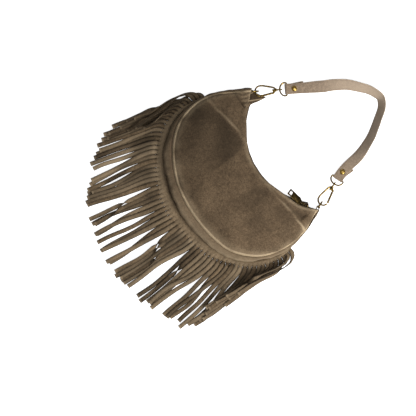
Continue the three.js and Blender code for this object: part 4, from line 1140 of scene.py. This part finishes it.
LINE = [[-81.0, 129.3], [-76.64, 138.3], [-72.28, 147.3], [-64.0, 165.3], [-56.7, 180.9], [-49.9, 196.9], [-42.0, 211.9], [-31.1, 225.5],
        [-18.5, 238.1], [-5.5, 247.4], [4.7, 250.7], [15.0, 247.3], [25.4, 237.6], [37.1, 223.9], [48.7, 209.2], [58.8, 192.4], [67.4, 172.8],
        [73.0, 148.6], [76.64, 138.3], [81.0, 129.3]]
TILT = [[0, 0], [0.1, 0], [0.18, 8], [0.33, 34], [0.5, 54], [0.65, 53], [0.8, 43], [0.9, 12], [0.93, 0], [1, 0]]
END_MAIN = [[0, HWZ + 2.35], [7, HWZ + 0.7], [12, HWZ + 0.6], [17, HWZ + 0.5], [26, HWZ - 1.2], [44, 3.6], [66, 0.9], [400, 0.9]]
END_FLAP = [[-1, HWZ - 2.35], [0, HWZ - 2.35], [7, HWZ - 1.5], [12, HWZ - 1.5], [17, HWZ - 1.5], [22, HWZ - 1.9], [30, HWZ - 2.2]]
CL = catmull(LINE, 24)
TOTAL = arc(CL)[-1]
ST = 1.4


def ease(list_, d):
    """A softened reading of a height list."""
    return sum(table(list_, d + k) for k in (-3, -1.5, 0, 1.5, 3)) / 5


def strap_at(d):
    p = at_length(CL, np.array([d]))[0]
    a, b = at_length(CL, np.array([max(d - 1.5, 0), min(d + 1.5, TOTAL)]))
    t_ = (b - a) / np.linalg.norm(b - a)
    return p, t_


sect = []                                           # centre, across, tangent, width


def tilt_at(d):
    return math.radians(sum(table(TILT, (d + k) / TOTAL) for k in (-14, -7, 0, 7, 14)) / 5)


def z_at(d):
    tl = tilt_at(d)
    e = min(d, TOTAL - d)
    return max(float(ease(END_MAIN, e)) if e > 3 else float(table(END_MAIN, e)), ST / 2 * math.cos(tl) + 9.5 * abs(math.sin(tl)) + 0.15)


def width_at(d):
    e = min(d, TOTAL - d)
    return 16.6 + 2.4 * float(smooth(16, 55, e))


def flap(d, right):
    p, t_ = strap_at(TOTAL - d if right else d)
    z = float(table(END_FLAP, d))
    dz = float(table(END_FLAP, d + 1) - table(END_FLAP, d - 1)) / 2
    t3 = np.array([t_[0], t_[1], -dz if right else dz])
    p = p + np.array([-t_[1], t_[0]]) * float(smooth(3, 26, d)) * (3.4 if right else 2.6)
    return [np.append(p, z), np.array([-t_[1], t_[0], 0]), -t3 / np.linalg.norm(t3), 16.6]


def fold_round(right):
    p, t_ = strap_at(TOTAL if right else 0)
    sgn = -1 if right else 1
    u_ = np.array([t_[0], t_[1], 0]) * sgn
    out = []
    for q_ in np.linspace(0, 1, 17):
        a = -math.pi / 2 - math.pi * q_
        c_ = np.append(p, HWZ) + u_ * 2.35 * math.cos(a) + np.array([0, 0, 2.35 * math.sin(a)])
        t3 = u_ * math.sin(a) + np.array([0, 0, -math.cos(a)])
        out.append([c_, np.array([-t_[1], t_[0], 0]), t3, 16.6])
    return out


for d in np.linspace(27, 1.5, 16):
    sect.append(flap(d, False))
sect += fold_round(False)
ds = np.arange(1.5, TOTAL - 1.4, 1.75)
for d in ds:
    p, t_ = strap_at(d)
    tl = tilt_at(d)
    ac = np.array([-t_[1] * math.cos(tl), t_[0] * math.cos(tl), math.sin(tl)])
    t3 = np.array([t_[0], t_[1], (z_at(min(d + 1, TOTAL)) - z_at(max(d - 1, 0))) / 2])
    sect.append([np.append(p, z_at(d)), ac, t3 / np.linalg.norm(t3), width_at(d)])
rf = fold_round(True)[::-1]
for s_ in rf:
    s_[2] = -s_[2]
sect += rf
for d in np.linspace(1.5, 27, 16):
    f_ = flap(d, True)
    sect.append(f_)
dist = np.concatenate([[0], np.cumsum([np.linalg.norm(sect[i + 1][0] - sect[i][0]) for i in range(len(sect) - 1)])])
sections, uu = [], []
cs = []
for u in np.linspace(-1, 1, 13):
    cs.append((u, 1))
prof_s = []
hw_t = ST / 2
N_AC = 15
us = np.sin(np.linspace(-np.pi / 2, np.pi / 2, N_AC))
for k, (p, ac, t3, w) in enumerate(sect):
    nrm = np.cross(t3, ac)
    nrm /= np.linalg.norm(nrm)
    e_ = min(dist[k], dist[-1] - dist[k])
    wob = 0.25 * Waves(71, 28, 6, 1)(np.array([dist[k]]))[0] * float(smooth(40, 80, e_))
    top_, bot_ = [], []
    for u in us:
        th = hw_t * (0.55 + 0.45 * math.sqrt(max(0.0, 1 - abs(u) ** 6)))
        pad = 0.28 * (1 - abs(u) ** 4) * float(smooth(28, 60, e_))          # slightly padded between the edge seams
        groove = -0.30 * math.exp(-((abs(u) - 0.83) / 0.05) ** 2) * float(smooth(28, 50, e_))
        c_ = p + ac * (u * w / 2) + nrm * wob * (u * u)
        top_.append(c_ + nrm * (th + pad + groove))
        bot_.append(c_ - nrm * th)
    sections.append(top_ + bot_[::-1])
    uu.append(list(np.abs(us)) + list(np.abs(us))[::-1])
V, F = sweep(np.array(sections))
V[:, 2] = np.maximum(V[:, 2], 0.05)
uu = np.array(uu).ravel()
# painted light: 'tone' grows with how far the strap stands on edge, lightening the tilted stretch that faces away from
# the key; 'shade' darkens it along the seam grooves
painted_light_tilt = np.repeat([abs(ac[2]) for _, ac, _, _ in sect], 2 * N_AC)
strap = make("strap_suede_strip", V, F, M_STRAP, "bag", ["strap"], "strap_suede",
             {"wear": 0.75 * smooth(0.93, 1.0, uu), "shade": 0.55 * np.exp(-((uu - 0.83) / 0.05) ** 2), "tone": 0.10 + 0.95 * painted_light_tilt}, sharp=60)

# rivets
for side, d in (("left", 12.0), ("right", TOTAL - 12.0)):
    p, _ = strap_at(d)
    top_z, low_z = HWZ + 0.6 + ST / 2 + 0.05, HWZ - 1.5 - ST / 2 - 0.2
    M_ = basis((p[0], p[1], 0), (1, 0, 0), (0, 1, 0), (0, 0, 1))
    cap = [(0, top_z - 0.1), (3.9, top_z - 0.1), (4.3, top_z + 0.25), (4.25, top_z + 0.7), (3.9, top_z + 1.25), (3.2, top_z + 1.75), (2.2, top_z + 2.15), (1.0, top_z + 2.35), (0, top_z + 2.4)]
    Parts().add(lathe(cap, 36), M_).make(f"rivet_{side}_cap_dome", M_RIVET, "bag", replaces=[f"rivet_{side}_cap"], slot="rivet_brass", sharp=50)
    post = [(0, low_z - 1.2), (2.6, low_z - 1.1), (3.6, low_z - 0.7), (3.9, low_z - 0.3), (3.8, low_z), (1.4, low_z + 0.05), (1.4, top_z - 0.3), (0, top_z - 0.25)]
    Parts().add(lathe(post, 28), M_).make(f"rivet_{side}_post_back", M_RIVET, "bag", replaces=[f"rivet_{side}_post"], slot="rivet_brass", sharp=50)

# ------------------------------------------------------------------ floor and light

me = bpy.data.meshes.new("floor")
me.from_pydata([(-4, -4, -0.0004), (4, -4, -0.0004), (4, 4, -0.0004), (-4, 4, -0.0004)], [], [(0, 1, 2, 3)])
floor = bpy.data.objects.new("floor", me)
scene.collection.objects.link(floor)
nf = Nodes("floor")
nf.bsdf.inputs["Base Color"].default_value = (0.80, 0.80, 0.80, 1)
nf.bsdf.inputs["Roughness"].default_value = 0.9
nf.bsdf.inputs["Specular IOR Level"].default_value = 0.1
nf.bsdf.inputs["Emission Color"].default_value = (1, 1, 1, 1)
nf.bsdf.inputs["Emission Strength"].default_value = 0.80
me.materials.append(nf.mat)
floor.visible_diffuse = False

# a bright studio above, nothing from below
world = bpy.data.worlds.new("world")
scene.world = world
world.use_nodes = True
wt = world.node_tree
tc = wt.nodes.new("ShaderNodeTexCoord")
sx = wt.nodes.new("ShaderNodeSeparateXYZ")
wr = wt.nodes.new("ShaderNodeValToRGB")
wr.color_ramp.elements[0].position, wr.color_ramp.elements[0].color = 0.0, (0.03, 0.03, 0.03, 1)
wr.color_ramp.elements[1].position, wr.color_ramp.elements[1].color = 0.5, (0.62, 0.63, 0.65, 1)
wt.links.new(tc.outputs["Generated"], sx.inputs[0])
wt.links.new(sx.outputs["Z"], wr.inputs["Fac"])
wt.links.new(wr.outputs["Color"], wt.nodes["Background"].inputs["Color"])
wt.nodes["Background"].inputs["Strength"].default_value = 0.55


def area(name, loc, size, power, target=(0, -0.03, 0.02)):
    ld = bpy.data.lights.new(name, "AREA")
    ld.shape = "SQUARE"
    ld.size, ld.energy = size, power
    ob = bpy.data.objects.new(name, ld)
    scene.collection.objects.link(ob)
    ob.location = loc
    ob.rotation_euler = (Vector(target) - Vector(loc)).to_track_quat("-Z", "Y").to_euler()
    return ob


area("key", (1.15, 0.28, 0.95), 0.7, 30)
area("overhead", (0.35, 0.05, 2.2), 1.2, 12)

scene.view_settings.view_transform = "Standard"
scene.view_settings.look = "None"
scene.view_settings.exposure = 0.0
